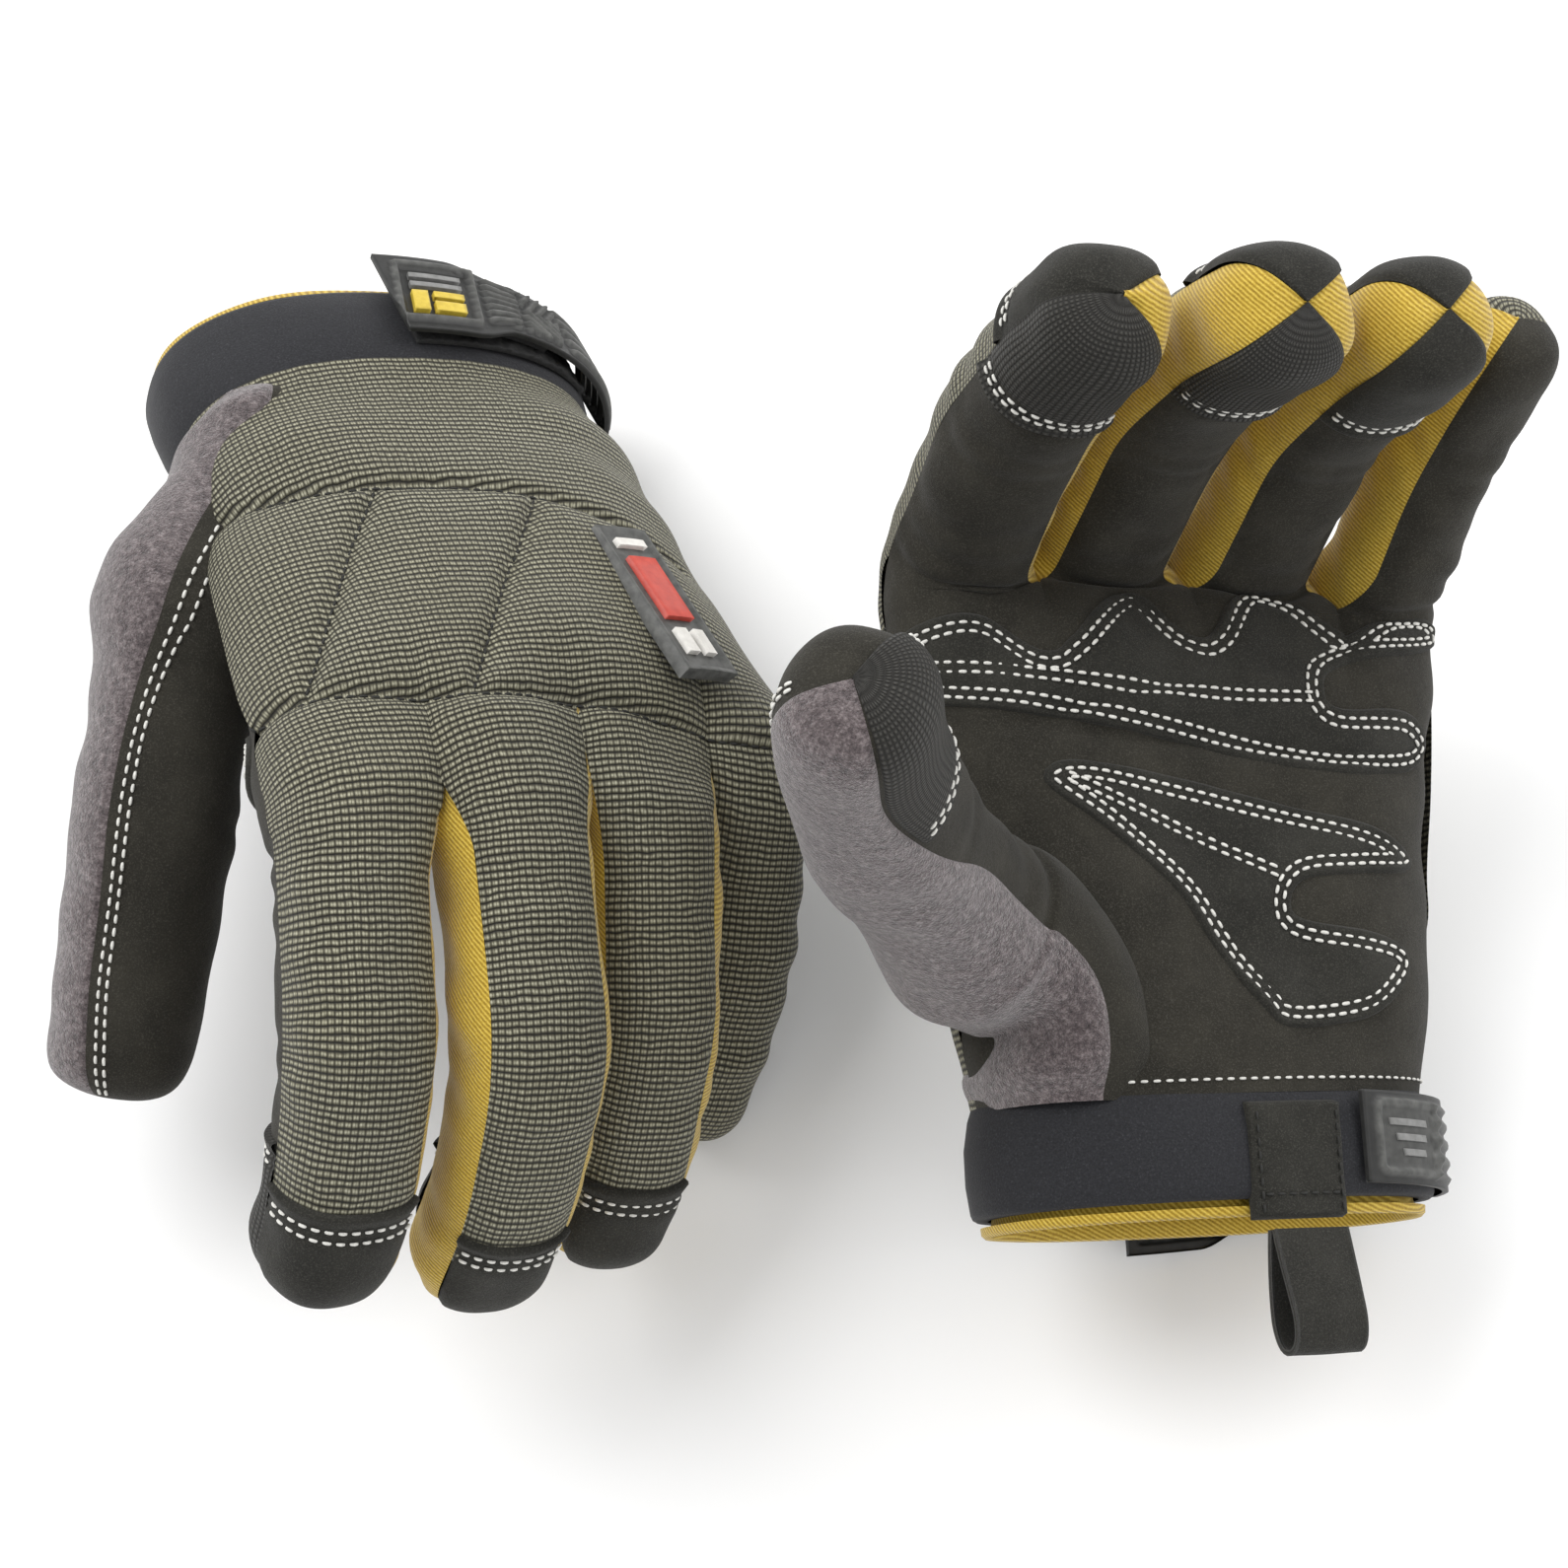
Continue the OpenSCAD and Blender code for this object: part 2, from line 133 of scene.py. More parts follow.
def half_t(y):
    return (WRIST_T + (KNUCKLE_T - WRIST_T) * np.clip(y / HAND_LEN, 0, 1)) / 2


def hand(t, y, off=0.0):
    """Point of the hand section at angle t and height y."""
    t, y = np.broadcast_arrays(np.radians(t), np.asarray(y, float))
    c, s = np.cos(t), np.sin(t)
    z = (half_t(y) + off) * power(s) - 6 * np.clip(y / HAND_LEN, 0, 1) * np.maximum(0, -c) ** 2
    return np.stack([(half_w(y) + off) * power(c), y, z], -1)


class Digit:
    def __init__(self, name, g):
        base, yaw, roll, length, self.a, self.b, turn = DIGITS[name]
        extra, b1, b2, b3 = BENDS[g][name]
        self.name, self.length, self.base = name, length, np.array(base, float)
        y, r = math.radians(yaw + extra), math.radians(roll)
        fwd = np.array([math.sin(y), math.cos(y), 0])
        side = np.array([math.cos(y), -math.sin(y), 0])
        up = math.cos(r) * np.array([0, 0, 1.0]) - math.sin(r) * side
        self.lat = np.cross(fwd, up)
        self.fwd, self.up = fwd, up
        self.s = np.arange(-130, length + 25, 0.25)
        ramp = lambda x, w: step(0, w, x)
        q = np.radians(b1 * ramp(self.s + 12, 19) + b2 * ramp(self.s - length * 0.42 + 11, 24)
                       + b3 * ramp(self.s - length * 0.72 + 9, 20))
        self.dir = np.cos(q)[:, None] * fwd - np.sin(q)[:, None] * up
        self.nor = np.cos(q)[:, None] * up + np.sin(q)[:, None] * fwd
        path = np.vstack([np.zeros(3), np.cumsum((self.dir[1:] + self.dir[:-1]) / 2 * 0.25, axis=0)])
        zero = int(round(130 / 0.25))
        self.mid = path - path[zero] + self.base
        self.turn = math.radians(turn)
        self.end = length - TIP_R
        self.full = self.end + TIP_R * math.pi / 2

    def look(self, table, s):
        return np.stack([np.interp(s, self.s, table[:, k]) for k in range(3)], -1)

    def point(self, angle, p, off=0.0):
        """Surface point at section angle (degrees) and distance p along the skin, off outwards."""
        angle, p, off = np.broadcast_arrays(np.radians(angle), np.asarray(p, float), off)
        tip = np.clip((p - self.end) / TIP_R, 0, math.pi / 2 - 0.0005)
        s = np.minimum(p, self.end)
        shrink, ahead = np.cos(tip) ** 0.62, np.sin(tip) ** 0.9
        thin = 1 - 0.1 * np.clip(s / self.length, 0, 1) + 0.035 * bump(s, self.length * 0.42, 9)
        c, n = self.look(self.mid, s), self.look(self.nor, s)
        d = self.look(self.dir, s)
        u = math.cos(self.turn) * self.lat - math.sin(self.turn) * n
        n = math.cos(self.turn) * n + math.sin(self.turn) * self.lat
        w = (self.a * thin + off) * shrink * power(np.cos(angle))
        h = (self.b * thin + off) * shrink * power(np.sin(angle))
        return c + d * ((TIP_R + off) * ahead)[..., None] + u * w[..., None] + n * h[..., None]


class Glove:
    """The skins of one glove as grids of points, each row one distance along the hand."""

    def __init__(self, g):
        self.g = g
        self.digits = {name: Digit(name, g) for name in DIGITS}
        self.rows = np.concatenate([np.arange(0, SPLIT, CELL), [SPLIT]])

    def raw(self, name, t, angle, y):
        """A skin point that is on the hand near the wrist and on the finger past its base."""
        d = self.digits[name]
        s = y - d.base[1]
        w = step(-32, 4, s)[..., None]
        return (1 - w) * hand(t, y) + w * d.point(angle, s)

    def seam(self, name, i, y):
        return self.raw(name, np.array(HAND_SEAMS[name][i]), np.array(SEAMS[name][i]), y)

    def border(self, k, top, y):
        """Where the skins of fingers k and k + 1 meet, on the back or on the palm side."""
        i, j = (1, 0) if top else (2, 3)
        return (self.seam(FINGERS[k], i, y) + self.seam(FINGERS[k + 1], j, y)) / 2

    def middle(self, k, y):
        a, b = FINGERS[k], FINGERS[k + 1]
        pa = self.raw(a, np.array(180.0), np.array(180.0), y)
        pb = self.raw(b, np.array(0.0), np.array(0.0), y)
        return (pa + pb) / 2

    def hold(self, k, y):
        """1 up to the crotch between fingers k and k + 1, then down to 0."""
        return 1 - step(CROTCH[k], CROTCH[k] + 15, y)

    def shift(self, name, side, top, y):
        """How far the edge of a finger's skin is pulled so that neighbours meet at the crotch."""
        k = FINGERS.index(name)
        k = k if side == "u" else k - 1
        if k < 0 or k > 2:
            return np.zeros(y.shape + (3,))
        i = (1 if side == "u" else 0) if top else (2 if side == "u" else 3)
        return (self.border(k, top, y) - self.seam(name, i, y)) * self.hold(k, y)[..., None]

    def skin(self, name, top, y, columns):
        """Grid of the back (top) or palm skin of one finger strip over heights y."""
        i = 0 if top else 2
        u = np.linspace(0, 1, columns)
        t0, t1 = HAND_SEAMS[name][i], HAND_SEAMS[name][i + 1]
        a0, a1 = SEAMS[name][i], SEAMS[name][i + 1]
        yy = y[:, None] + 0 * u
        p = self.raw(name, t0 + (t1 - t0) * u + 0 * yy, a0 + (a1 - a0) * u + 0 * yy, yy)
        first, last = ("r", "u") if top else ("u", "r")
        p += self.shift(name, first, top, y)[:, None] * ((1 - u) ** 2.5)[None, :, None]
        p += self.shift(name, last, top, y)[:, None] * (u ** 2.5)[None, :, None]
        return p

    def wall(self, name, side, y, columns=13):
        """Grid of the gusset on one side of a finger, from its back seam to its palm seam."""
        k = FINGERS.index(name) - (0 if side == "u" else 1)
        lo, hi = (SEAMS[name][1], SEAMS[name][2]) if side == "u" else (SEAMS[name][0], SEAMS[name][3] - 360)
        u = np.linspace(0, 1, columns)
        yy = y[:, None] + 0 * u
        seams = HAND_SEAMS[name]
        t0, t1 = (seams[1], seams[2]) if side == "u" else (seams[0], seams[3] - 360)
        base = 180.0 if side == "u" else 0.0
        p = self.raw(name, t0 + (t1 - t0) * u + 0 * yy, lo + (hi - lo) * u + 0 * yy, yy)
        own = self.raw(name, np.array(base), np.array(base), y)
        top, low = self.shift(name, side, True, y), self.shift(name, side, False, y)
        mid = (self.middle(k, y) - own) * self.hold(k, y)[..., None]
        q = u[None, :, None]
        p += top[:, None] * (1 - q) * (1 - 2 * q) + mid[:, None] * 4 * q * (1 - q)
        p += low[:, None] * q * (2 * q - 1)
        bulge = (step(CROTCH[k], CROTCH[k] + 18, y)[:, None, None] * 0.4 * np.sin(math.pi * q))
        return p + bulge * normals(p) * (1 if side == "u" else -1)


def normals(p):
    """Outward unit normals of a grid whose rows run towards the fingertips and columns round the hand."""
    n = np.cross(np.gradient(p, axis=0), np.gradient(p, axis=1))
    return n / np.maximum(np.linalg.norm(n, axis=-1, keepdims=True), 1e-9)


# Meshes
def mesh(name, points, faces, material, g, body, smooth=True):
    data = bpy.data.meshes.new(name)
    data.from_pydata([tuple(v) for v in place(points, g)], [], faces)
    data.polygons.foreach_set("use_smooth", [smooth] * len(data.polygons))
    data.materials.append(material)
    data.update()
    o = bpy.data.objects.new(name, data)
    bpy.context.scene.collection.objects.link(o)
    if body:
        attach(o, body)
    return o


def grid_faces(rows, cols, start=0, closed=False, flip=False):
    last = cols if closed else cols - 1
    out = []
    for i in range(rows - 1):
        for j in range(last):
            k = (j + 1) % cols
            f = (start + i * cols + j, start + (i + 1) * cols + j,
                 start + (i + 1) * cols + k, start + i * cols + k)
            out.append(f[::-1] if flip else f)
    return out


def rimmed(a, b, n):
    """Evenly spaced values with each end given three times, for a raised shape's edge."""
    return np.concatenate([[a, a], np.linspace(a, b, n), [b, b]])


def skirt(h, low):
    """The outermost points of a grid of heights are taken down to the surface it stands on."""
    h[[0, -1]] = low
    h[:, [0, -1]] = low


def grid_mesh(name, p, material, g, body, closed=False, flip=False, keep=None):
    """A mesh over a grid of points; keep picks the faces to leave in."""
    faces = grid_faces(*p.shape[:2], closed=closed, flip=flip)
    return mesh(name, p.reshape(-1, 3), keep(p, faces) if keep else faces, material, g, body)


def chart_grid(o, u, v):
    """The same fabric coordinates from u for each column and v for each row."""
    chart(o, np.stack(np.broadcast_arrays(u[None, :], v[:, None]), -1).reshape(-1, 2))


def chart(o, uv):
    """Fabric coordinates in millimetres, one pair per point."""
    layer = o.data.attributes.new("weave", "FLOAT_VECTOR", "POINT")
    flat = np.zeros((len(uv), 3), np.float32)
    flat[:, :2] = uv
    layer.data.foreach_set("vector", flat.ravel())


def lengths(p, centre, start=(0.0, 0.0)):
    """Fabric coordinates of a grid: real length across from its centre column, and along."""
    across = np.linalg.norm(np.diff(p, axis=1), axis=-1)
    u = np.concatenate([np.zeros((len(p), 1)), np.cumsum(across, axis=1)], axis=1)
    along = np.linalg.norm(np.diff(p, axis=0), axis=-1).mean(axis=1)
    v = np.concatenate([[0], np.cumsum(along)])[:, None]
    return np.stack(np.broadcast_arrays(u - u[:, centre:centre + 1] + start[0], v + start[1]), -1)


# Materials
class Shader:
    """A small node tree around one Principled shader."""

    def __init__(self, name, rough, sheen=0.0, specular=0.3):
        self.mat = bpy.data.materials.new(name)
        self.mat.use_nodes = True
        self.tree = self.mat.node_tree
        self.bsdf = self.tree.nodes["Principled BSDF"]
        self.bsdf.inputs["Roughness"].default_value = rough
        self.bsdf.inputs["Sheen Weight"].default_value = sheen
        self.bsdf.inputs["Sheen Roughness"].default_value = 0.45
        self.bsdf.inputs["Specular IOR Level"].default_value = specular
        self.normal = None

    def plug(self, value, socket):
        if isinstance(value, bpy.types.NodeSocket):
            self.tree.links.new(value, socket)
        else:
            socket.default_value = value

    def math(self, op, a, b=0.0, c=None):
        n = self.tree.nodes.new("ShaderNodeMath")
        n.operation = op
        self.plug(a, n.inputs[0])
        self.plug(b, n.inputs[1])
        if c is not None:
            self.plug(c, n.inputs[2])
        return n.outputs[0]

    def place(self):
        """Millimetres in the piece's own coordinates, so a texture doesn't swim."""
        c = self.tree.nodes.new("ShaderNodeTexCoord")
        m = self.tree.nodes.new("ShaderNodeVectorMath")
        m.operation = "SCALE"
        self.tree.links.new(c.outputs["Object"], m.inputs[0])
        m.inputs["Scale"].default_value = 1000.0
        return m.outputs[0]

    def weave(self):
        a = self.tree.nodes.new("ShaderNodeAttribute")
        a.attribute_name = "weave"
        s = self.tree.nodes.new("ShaderNodeSeparateXYZ")
        self.tree.links.new(a.outputs["Vector"], s.inputs[0])
        return s.outputs["X"], s.outputs["Y"]

    def noise(self, scale, detail=2.0, rough=0.5):
        n = self.tree.nodes.new("ShaderNodeTexNoise")
        self.plug(self.place(), n.inputs["Vector"])
        n.inputs["Scale"].default_value = scale
        n.inputs["Detail"].default_value = detail
        n.inputs["Roughness"].default_value = rough
        return n.outputs["Fac"]

    def ramp(self, value, stops):
        r = self.tree.nodes.new("ShaderNodeValToRGB")
        self.plug(value, r.inputs[0])
        e = r.color_ramp.elements
        while len(e) < len(stops):
            e.new(0.5)
        for element, (at, colour) in zip(e, stops):
            element.position = at
            element.color = (*colour, 1)
        return r.outputs[0]

    def mix(self, f, a, b, blend="MIX"):
        m = self.tree.nodes.new("ShaderNodeMix")
        m.data_type = "RGBA"
        m.blend_type = blend
        self.plug(f, m.inputs[0])
        self.plug(a if isinstance(a, bpy.types.NodeSocket) else (*a, 1), m.inputs[6])
        self.plug(b if isinstance(b, bpy.types.NodeSocket) else (*b, 1), m.inputs[7])
        return m.outputs[2]

    def colour(self, value):
        self.plug(value, self.bsdf.inputs["Base Color"])

    def rough(self, value):
        self.plug(value, self.bsdf.inputs["Roughness"])

    def bump(self, height, distance, strength=1.0):
        b = self.tree.nodes.new("ShaderNodeBump")
        b.inputs["Strength"].default_value = strength
        b.inputs["Distance"].default_value = distance
        self.plug(height, b.inputs["Height"])
        if self.normal:
            self.plug(self.normal, b.inputs["Normal"])
        self.normal = b.outputs[0]
        self.plug(self.normal, self.bsdf.inputs["Normal"])


def knit_material():
    """Ribbed stretch weave: rows of small lumps, two yarns to a lump. Its colour follows the lumps' height:
    painted shade in the gaps between rows and a painted highlight on the lump tops.
    """
    m = Shader("knit", 0.62, sheen=0.08, specular=0.3)
    u, v = m.weave()
    wob = m.math("MULTIPLY", m.math("SUBTRACT", m.noise(0.25), 0.5), 0.9)
    row = m.math("ABSOLUTE", m.math("SINE", m.math("MULTIPLY", m.math("ADD", v, wob), math.pi / 1.25)))
    col = m.math("ABSOLUTE", m.math("SINE", m.math("MULTIPLY", m.math("ADD", u, wob), math.pi / 1.2)))
    strand = m.math("ABSOLUTE", m.math("SINE", m.math("MULTIPLY", u, math.pi / 0.6)))
    row = m.math("POWER", row, 0.8)
    col = m.math("POWER", col, 0.45)
    lump = m.math("MULTIPLY", row, m.math("MULTIPLY_ADD", col, 0.6, 0.4))
    yarn = m.math("MULTIPLY", lump, m.math("MULTIPLY_ADD", m.math("POWER", strand, 0.5), 0.35, 0.65))
    speck = m.math("MULTIPLY_ADD", m.noise(1.6, 3.0, 0.7), 0.5, 0.72)
    value = m.math("MULTIPLY", yarn, speck)
    # Painted light: near black in the gaps between rows stands in for shade there, and the pale top of the
    # ramp on the lumps is a painted highlight.
    c = m.ramp(value, [(0.12, (0.006, 0.0055, 0.003)), (0.45, (0.052, 0.048, 0.031)),
                       (0.72, (0.165, 0.158, 0.112)), (1.0, (0.45, 0.44, 0.34))])
    tone = m.ramp(m.noise(0.02, 2.0), [(0.3, (0.9, 0.88, 0.82)), (0.7, (1.0, 1.0, 1.0))])
    m.colour(m.mix(1.0, c, tone, "MULTIPLY"))
    m.bump(yarn, 0.00035, 0.9)
    return m.mat


def suede_material(name="suede", base=(0.019, 0.0175, 0.0135), light=(0.085, 0.079, 0.066)):
    """Brushed synthetic suede: fine nap, faint mottling and pale specks."""
    m = Shader(name, 0.88, sheen=0.10, specular=0.18)
    fine = m.noise(3.2, 4.0, 0.75)
    broad = m.noise(0.09, 3.0, 0.6)
    c = m.mix(m.ramp(broad, [(0.35, (0, 0, 0)), (0.7, (1, 1, 1))]), base, [x * 1.7 for x in base])
    speck = m.ramp(fine, [(0.5, (0, 0, 0)), (0.72, (1, 1, 1))])
    c = m.mix(m.math("MULTIPLY", speck, 0.75), c, light)
    m.colour(c)
    m.bump(fine, 0.0003, 0.55)
    m.bump(m.noise(0.5, 3.0, 0.6), 0.0006, 0.25)
    return m.mat


def grip_material():
    """Suede with a printed grid of small raised dots, a little shinier."""
    m = Shader("grip", 0.65, sheen=0.05, specular=0.3)
    u, v = m.weave()
    du = m.math("SINE", m.math("MULTIPLY", u, math.pi / 0.95))
    dv = m.math("SINE", m.math("MULTIPLY", v, math.pi / 0.95))
    dots = m.math("POWER", m.math("ABSOLUTE", m.math("MULTIPLY", du, dv)), 1.2)
    fine = m.noise(3.0, 3.0, 0.7)
    c = m.ramp(m.math("MULTIPLY_ADD", fine, 0.35, m.math("MULTIPLY", dots, 0.65)),
               [(0.1, (0.008, 0.0075, 0.006)), (0.5, (0.024, 0.0225, 0.019)), (0.95, (0.075, 0.072, 0.064))])
    m.colour(c)
    m.bump(dots, 0.0004, 0.9)
    m.bump(fine, 0.0002, 0.4)
    return m.mat


def yellow_material():
    m = Shader("yellow_knit", 0.7, sheen=0.3, specular=0.25)
    p = m.place()
    fine = m.noise(2.2, 3.0, 0.65)
    n = m.tree.nodes.new("ShaderNodeTexWave")
    n.wave_type = "BANDS"
    n.bands_direction = "DIAGONAL"
    m.plug(p, n.inputs["Vector"])
    n.inputs["Scale"].default_value = 0.55
    n.inputs["Distortion"].default_value = 1.2
    n.inputs["Detail"].default_value = 2.0
    rib = n.outputs["Fac"]
    v = m.math("MULTIPLY_ADD", rib, 0.4, m.math("MULTIPLY", fine, 0.6))
    m.colour(m.ramp(v, [(0.15, (0.20, 0.115, 0.006)), (0.5, (0.46, 0.30, 0.025)),
                        (0.9, (0.76, 0.58, 0.12))]))
    m.bump(v, 0.00035, 0.7)
    return m.mat


def fleece_material():
    m = Shader("fleece", 0.95, sheen=0.6, specular=0.1)
    lump = m.noise(0.8, 4.0, 0.7)
    fine = m.noise(2.6, 3.0, 0.7)
    v = m.math("MULTIPLY_ADD", lump, 0.6, m.math("MULTIPLY", fine, 0.4))
    m.colour(m.ramp(v, [(0.33, (0.025, 0.019, 0.020)), (0.5, (0.115, 0.092, 0.094)),
                        (0.68, (0.31, 0.265, 0.265))]))
    m.bump(v, 0.0012, 1.0)
    return m.mat


def neoprene_material():
    m = Shader("neoprene", 0.75, sheen=0.08, specular=0.3)
    fine = m.noise(2.8, 3.0, 0.6)
    m.colour(m.ramp(fine, [(0.3, (0.008, 0.008, 0.010)), (0.6, (0.019, 0.0195, 0.023)),
                           (0.85, (0.06, 0.06, 0.067))]))
    m.bump(fine, 0.00025, 0.5)
    return m.mat


def rubber_material(name="moulded_rubber", dark=(0.045, 0.046, 0.043), light=(0.115, 0.115, 0.108)):
    m = Shader(name, 0.5, specular=0.45)
    n = m.noise(0.5, 4.0, 0.6)
    # Painted shade: where a band marks its relief as low, the colour is mixed towards near black, standing
    # in for shade in the grooves between the ribs.
    a = m.tree.nodes.new("ShaderNodeAttribute")
    a.attribute_name = "painted_groove_shade"
    low = m.math("MULTIPLY", a.outputs["Fac"], 0.85)
    m.colour(m.mix(low, m.ramp(n, [(0.35, dark), (0.75, light)]), [x * 0.08 for x in dark]))
    m.rough(m.math("MULTIPLY_ADD", m.noise(2.0, 3.0), 0.25, 0.36))
    m.bump(m.noise(4.0, 2.0), 0.00008, 0.4)
    return m.mat


def plain_material(name, colour, rough=0.6, spread=0.25, scale=2.5, sheen=0.0):
    m = Shader(name, rough, sheen=sheen, specular=0.3)
    n = m.noise(scale, 3.0, 0.65)
    m.colour(m.ramp(n, [(0.3, [c * (1 - spread) for c in colour]),
                        (0.7, [min(1, c * (1 + spread)) for c in colour])]))
    m.bump(n, 0.0001, 0.4)
    return m.mat


KNIT, SUEDE, GRIP = knit_material(), suede_material(), grip_material()
PATCH = suede_material("suede_patch", (0.016, 0.0155, 0.0130), (0.080, 0.077, 0.066))
YELLOW, FLEECE = yellow_material(), fleece_material()
NEOPRENE, RUBBER = neoprene_material(), rubber_material()
THREAD = plain_material("thread", (0.66, 0.65, 0.61), 0.6, 0.2)
DARK_THREAD = plain_material("dark_thread", (0.02, 0.02, 0.018), 0.6, 0.3)
HOOK = plain_material("hook", (0.02, 0.02, 0.02), 0.8, 0.4)
MARK_YELLOW = rubber_material("mark_yellow", (0.50, 0.36, 0.03), (0.66, 0.50, 0.06))
MARK_RED = rubber_material("mark_red", (0.42, 0.045, 0.03), (0.55, 0.07, 0.045))
MARK_WHITE = rubber_material("mark_white", (0.60, 0.58, 0.54), (0.75, 0.73, 0.69))
GREY_MARK = rubber_material("mark_grey", (0.15, 0.15, 0.145), (0.24, 0.24, 0.235))
FLOOR = plain_material("floor", (0.95, 0.95, 0.95), 0.9, 0.01, 0.01)


# Detail curves, in glove millimetres
def dense(points, gap=0.8, closed=False):
    """Catmull-Rom curve through points, resampled at an even gap."""
    p = np.array(points, float)
    if closed:
        q = np.vstack([p[-1], p, p[0], p[1]])
    else:
        q = np.vstack([2 * p[0] - p[1], p, 2 * p[-1] - p[-2]])
    t = np.linspace(0, 1, 24, endpoint=False)[:, None]
    out = []
    for a, b, c, d in zip(q[:-3], q[1:-2], q[2:-1], q[3:]):
        out.append(0.5 * (2 * b + (c - a) * t + (2 * a - 5 * b + 4 * c - d) * t ** 2
                          + (3 * b - a - 3 * c + d) * t ** 3))
    out = np.vstack(out + [q[-2:-1]])
    run = run_along(out)
    n = max(2, int(round(run[-1] / gap)))
    at = np.linspace(0, run[-1], n + 1)
    out = np.stack([np.interp(at, run, out[:, k]) for k in range(out.shape[1])], -1)
    return out[:-1] if closed else out


def distance(points, line):
    """Distance from each 2D point to a 2D polyline."""
    best = np.full(len(points), 1e9)
    for a, b in zip(line[:-1], line[1:]):
        ab = b - a
        t = np.clip(((points - a) @ ab) / max(ab @ ab, 1e-9), 0, 1)
        best = np.minimum(best, np.linalg.norm(points - a - t[:, None] * ab, axis=1))
    return best


def inset(outline, gap):
    """A closed curve moved inwards; outline runs anticlockwise."""
    nxt, prv = np.roll(outline, -1, 0), np.roll(outline, 1, 0)
    tan = nxt - prv
    tan /= np.linalg.norm(tan, axis=1, keepdims=True)
    area = 0.5 * np.sum(outline[:, 0] * nxt[:, 1] - nxt[:, 0] * outline[:, 1])
    nor = np.stack([-tan[:, 1], tan[:, 0]], -1) * (1 if area > 0 else -1)
    return outline + nor * gap


# Surface detail
QUILT = [
    dense([(46, 28), (34, 32), (20, 34.5), (6, 35), (-10, 38), (-24, 42), (-40, 47)]),
    dense([(56, 76), (40, 80), (19, 84), (-3, 85.5), (-20, 89), (-34, 92), (-54, 92)]),
    dense([(20, 34.5), (28, 47), (34, 58), (45, 78)]),
    dense([(-10, 38), (-2, 51), (6, 63), (18, 84)]),
]


def back_relief(p):
    """Height of the quilted back over its smooth shape, from each point's place on the hand."""
    xy = p[..., :2].reshape(-1, 2)
    near = np.min([distance(xy, line) for line in QUILT], axis=0)
    pad = 1.5 * (1 - np.exp(-(near / 5.0) ** 1.3)) - 1.3 * np.exp(-(near / 1.3) ** 2)
    y, x = xy[:, 1], xy[:, 0]
    inside = step(6, 20, y) * (1 - step(92, 108, y))
    rolls = 1.5 * bump(y, 13, 6) * step(6, -30, x) + 0.9 * bump(y + 0.25 * x, 22, 5) * step(0, -34, x)
    soft = 0.55 * noise(p.reshape(-1, 3) * [1, 1, 0.5], 16, 1) * step(4, 18, y)
    knuckle = 1.4 * bump(y, 93, 9) * np.cos(x / 28 * math.pi - 1.45) * step(60, 80, y)
    return (pad * inside + rolls + soft + knuckle).reshape(p.shape[:-1])


def palm_relief(p):
    x, y = p[..., 0], p[..., 1]
    hollow = -3.4 * np.exp(-((x + 2) / 26) ** 2 - ((y - 46) / 26) ** 2)
    heel = 2.0 * np.exp(-((x + 30) / 14) ** 2 - ((y - 34) / 24) ** 2)
    pads = 1.6 * bump(y, 84, 9) * (0.4 + 0.6 * np.cos((x + 2) / 27 * 2 * math.pi + 0.4))
    creases = -1.1 * bump(y - 0.10 * x, 62, 1.7) - 0.8 * bump(y + 0.22 * x, 74, 1.5)
    folds = 0.8 * noise(p * [0.7, 1.3, 0.6], 13, 3)
    return (hollow + heel + pads + creases * step(50, 20, np.abs(x)) + folds) * step(0, 14, y)


def finger_folds(p, s, palm):
    """Soft creases across a finger: deep at its base on the palm side, faint on its back."""
    base = bump(s, 3, 2.2) + 0.8 * bump(s, 9.5, 2.6) + 0.5 * bump(s, 17, 3.0)
    mid = 0.7 * bump(s, 34, 2.4) + 0.5 * bump(s, 41, 2.4)
    if palm:
        return -1.0 * base - 0.7 * mid + 0.45 * noise(p, 9, 5)
    return 0.35 * noise(p * [0.6, 1.4, 1.4], 10, 2) - 0.25 * bump(s, 36, 2.0) - 0.2 * bump(s, 43, 2.0)


def join_strips(strips):
    """Side-by-side grids as one, without the doubled border columns."""
    return np.concatenate([strips[0]] + [s[:, 1:] for s in strips[1:]], axis=1)


COLUMNS = {"index": 34, "middle": 27, "ring": 27, "little": 34}


def side(g, name):
    return f"glove_{g}_{name}"


def bend(o, glove, name):
    """Bakes the piece's placement into its mesh. The piece follows the hand up to a finger's hinge and the
    bent finger past it from how its points were made, not from this step.
    """
    d = glove.digits[name]
    way = d.look(d.dir, 6.0)
    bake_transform(o)
    return o


def skins(glove):
    """Back and palm of the hand and of the four fingers."""
    g, out = glove.g, {}
    y = glove.rows
    for top, mat, nm in ((True, KNIT, "back"), (False, SUEDE, "palm")):
        order = FINGERS if top else FINGERS[::-1]
        p = join_strips([glove.skin(n, top, y, COLUMNS[n]) for n in order])
        uv = lengths(p, COLUMNS[order[0]] + COLUMNS[order[1]])
        n = normals(p)
        h = back_relief(p) if top else palm_relief(p)
        p = p + n * h[..., None]
        o = grid_mesh(f"{g}_{nm}_skin", p, mat, g, side(g, "hand"))
        chart(o, uv.reshape(-1, 2))
        out[nm] = (o, p)
        at = 0
        for name in order:
            cols = COLUMNS[name]
            last, start = h[-1, at:at + cols], uv[-1, at + cols // 2]
            at += cols - 1
            out[nm + name] = finger_skin(glove, name, top, mat, last, start)
    return out


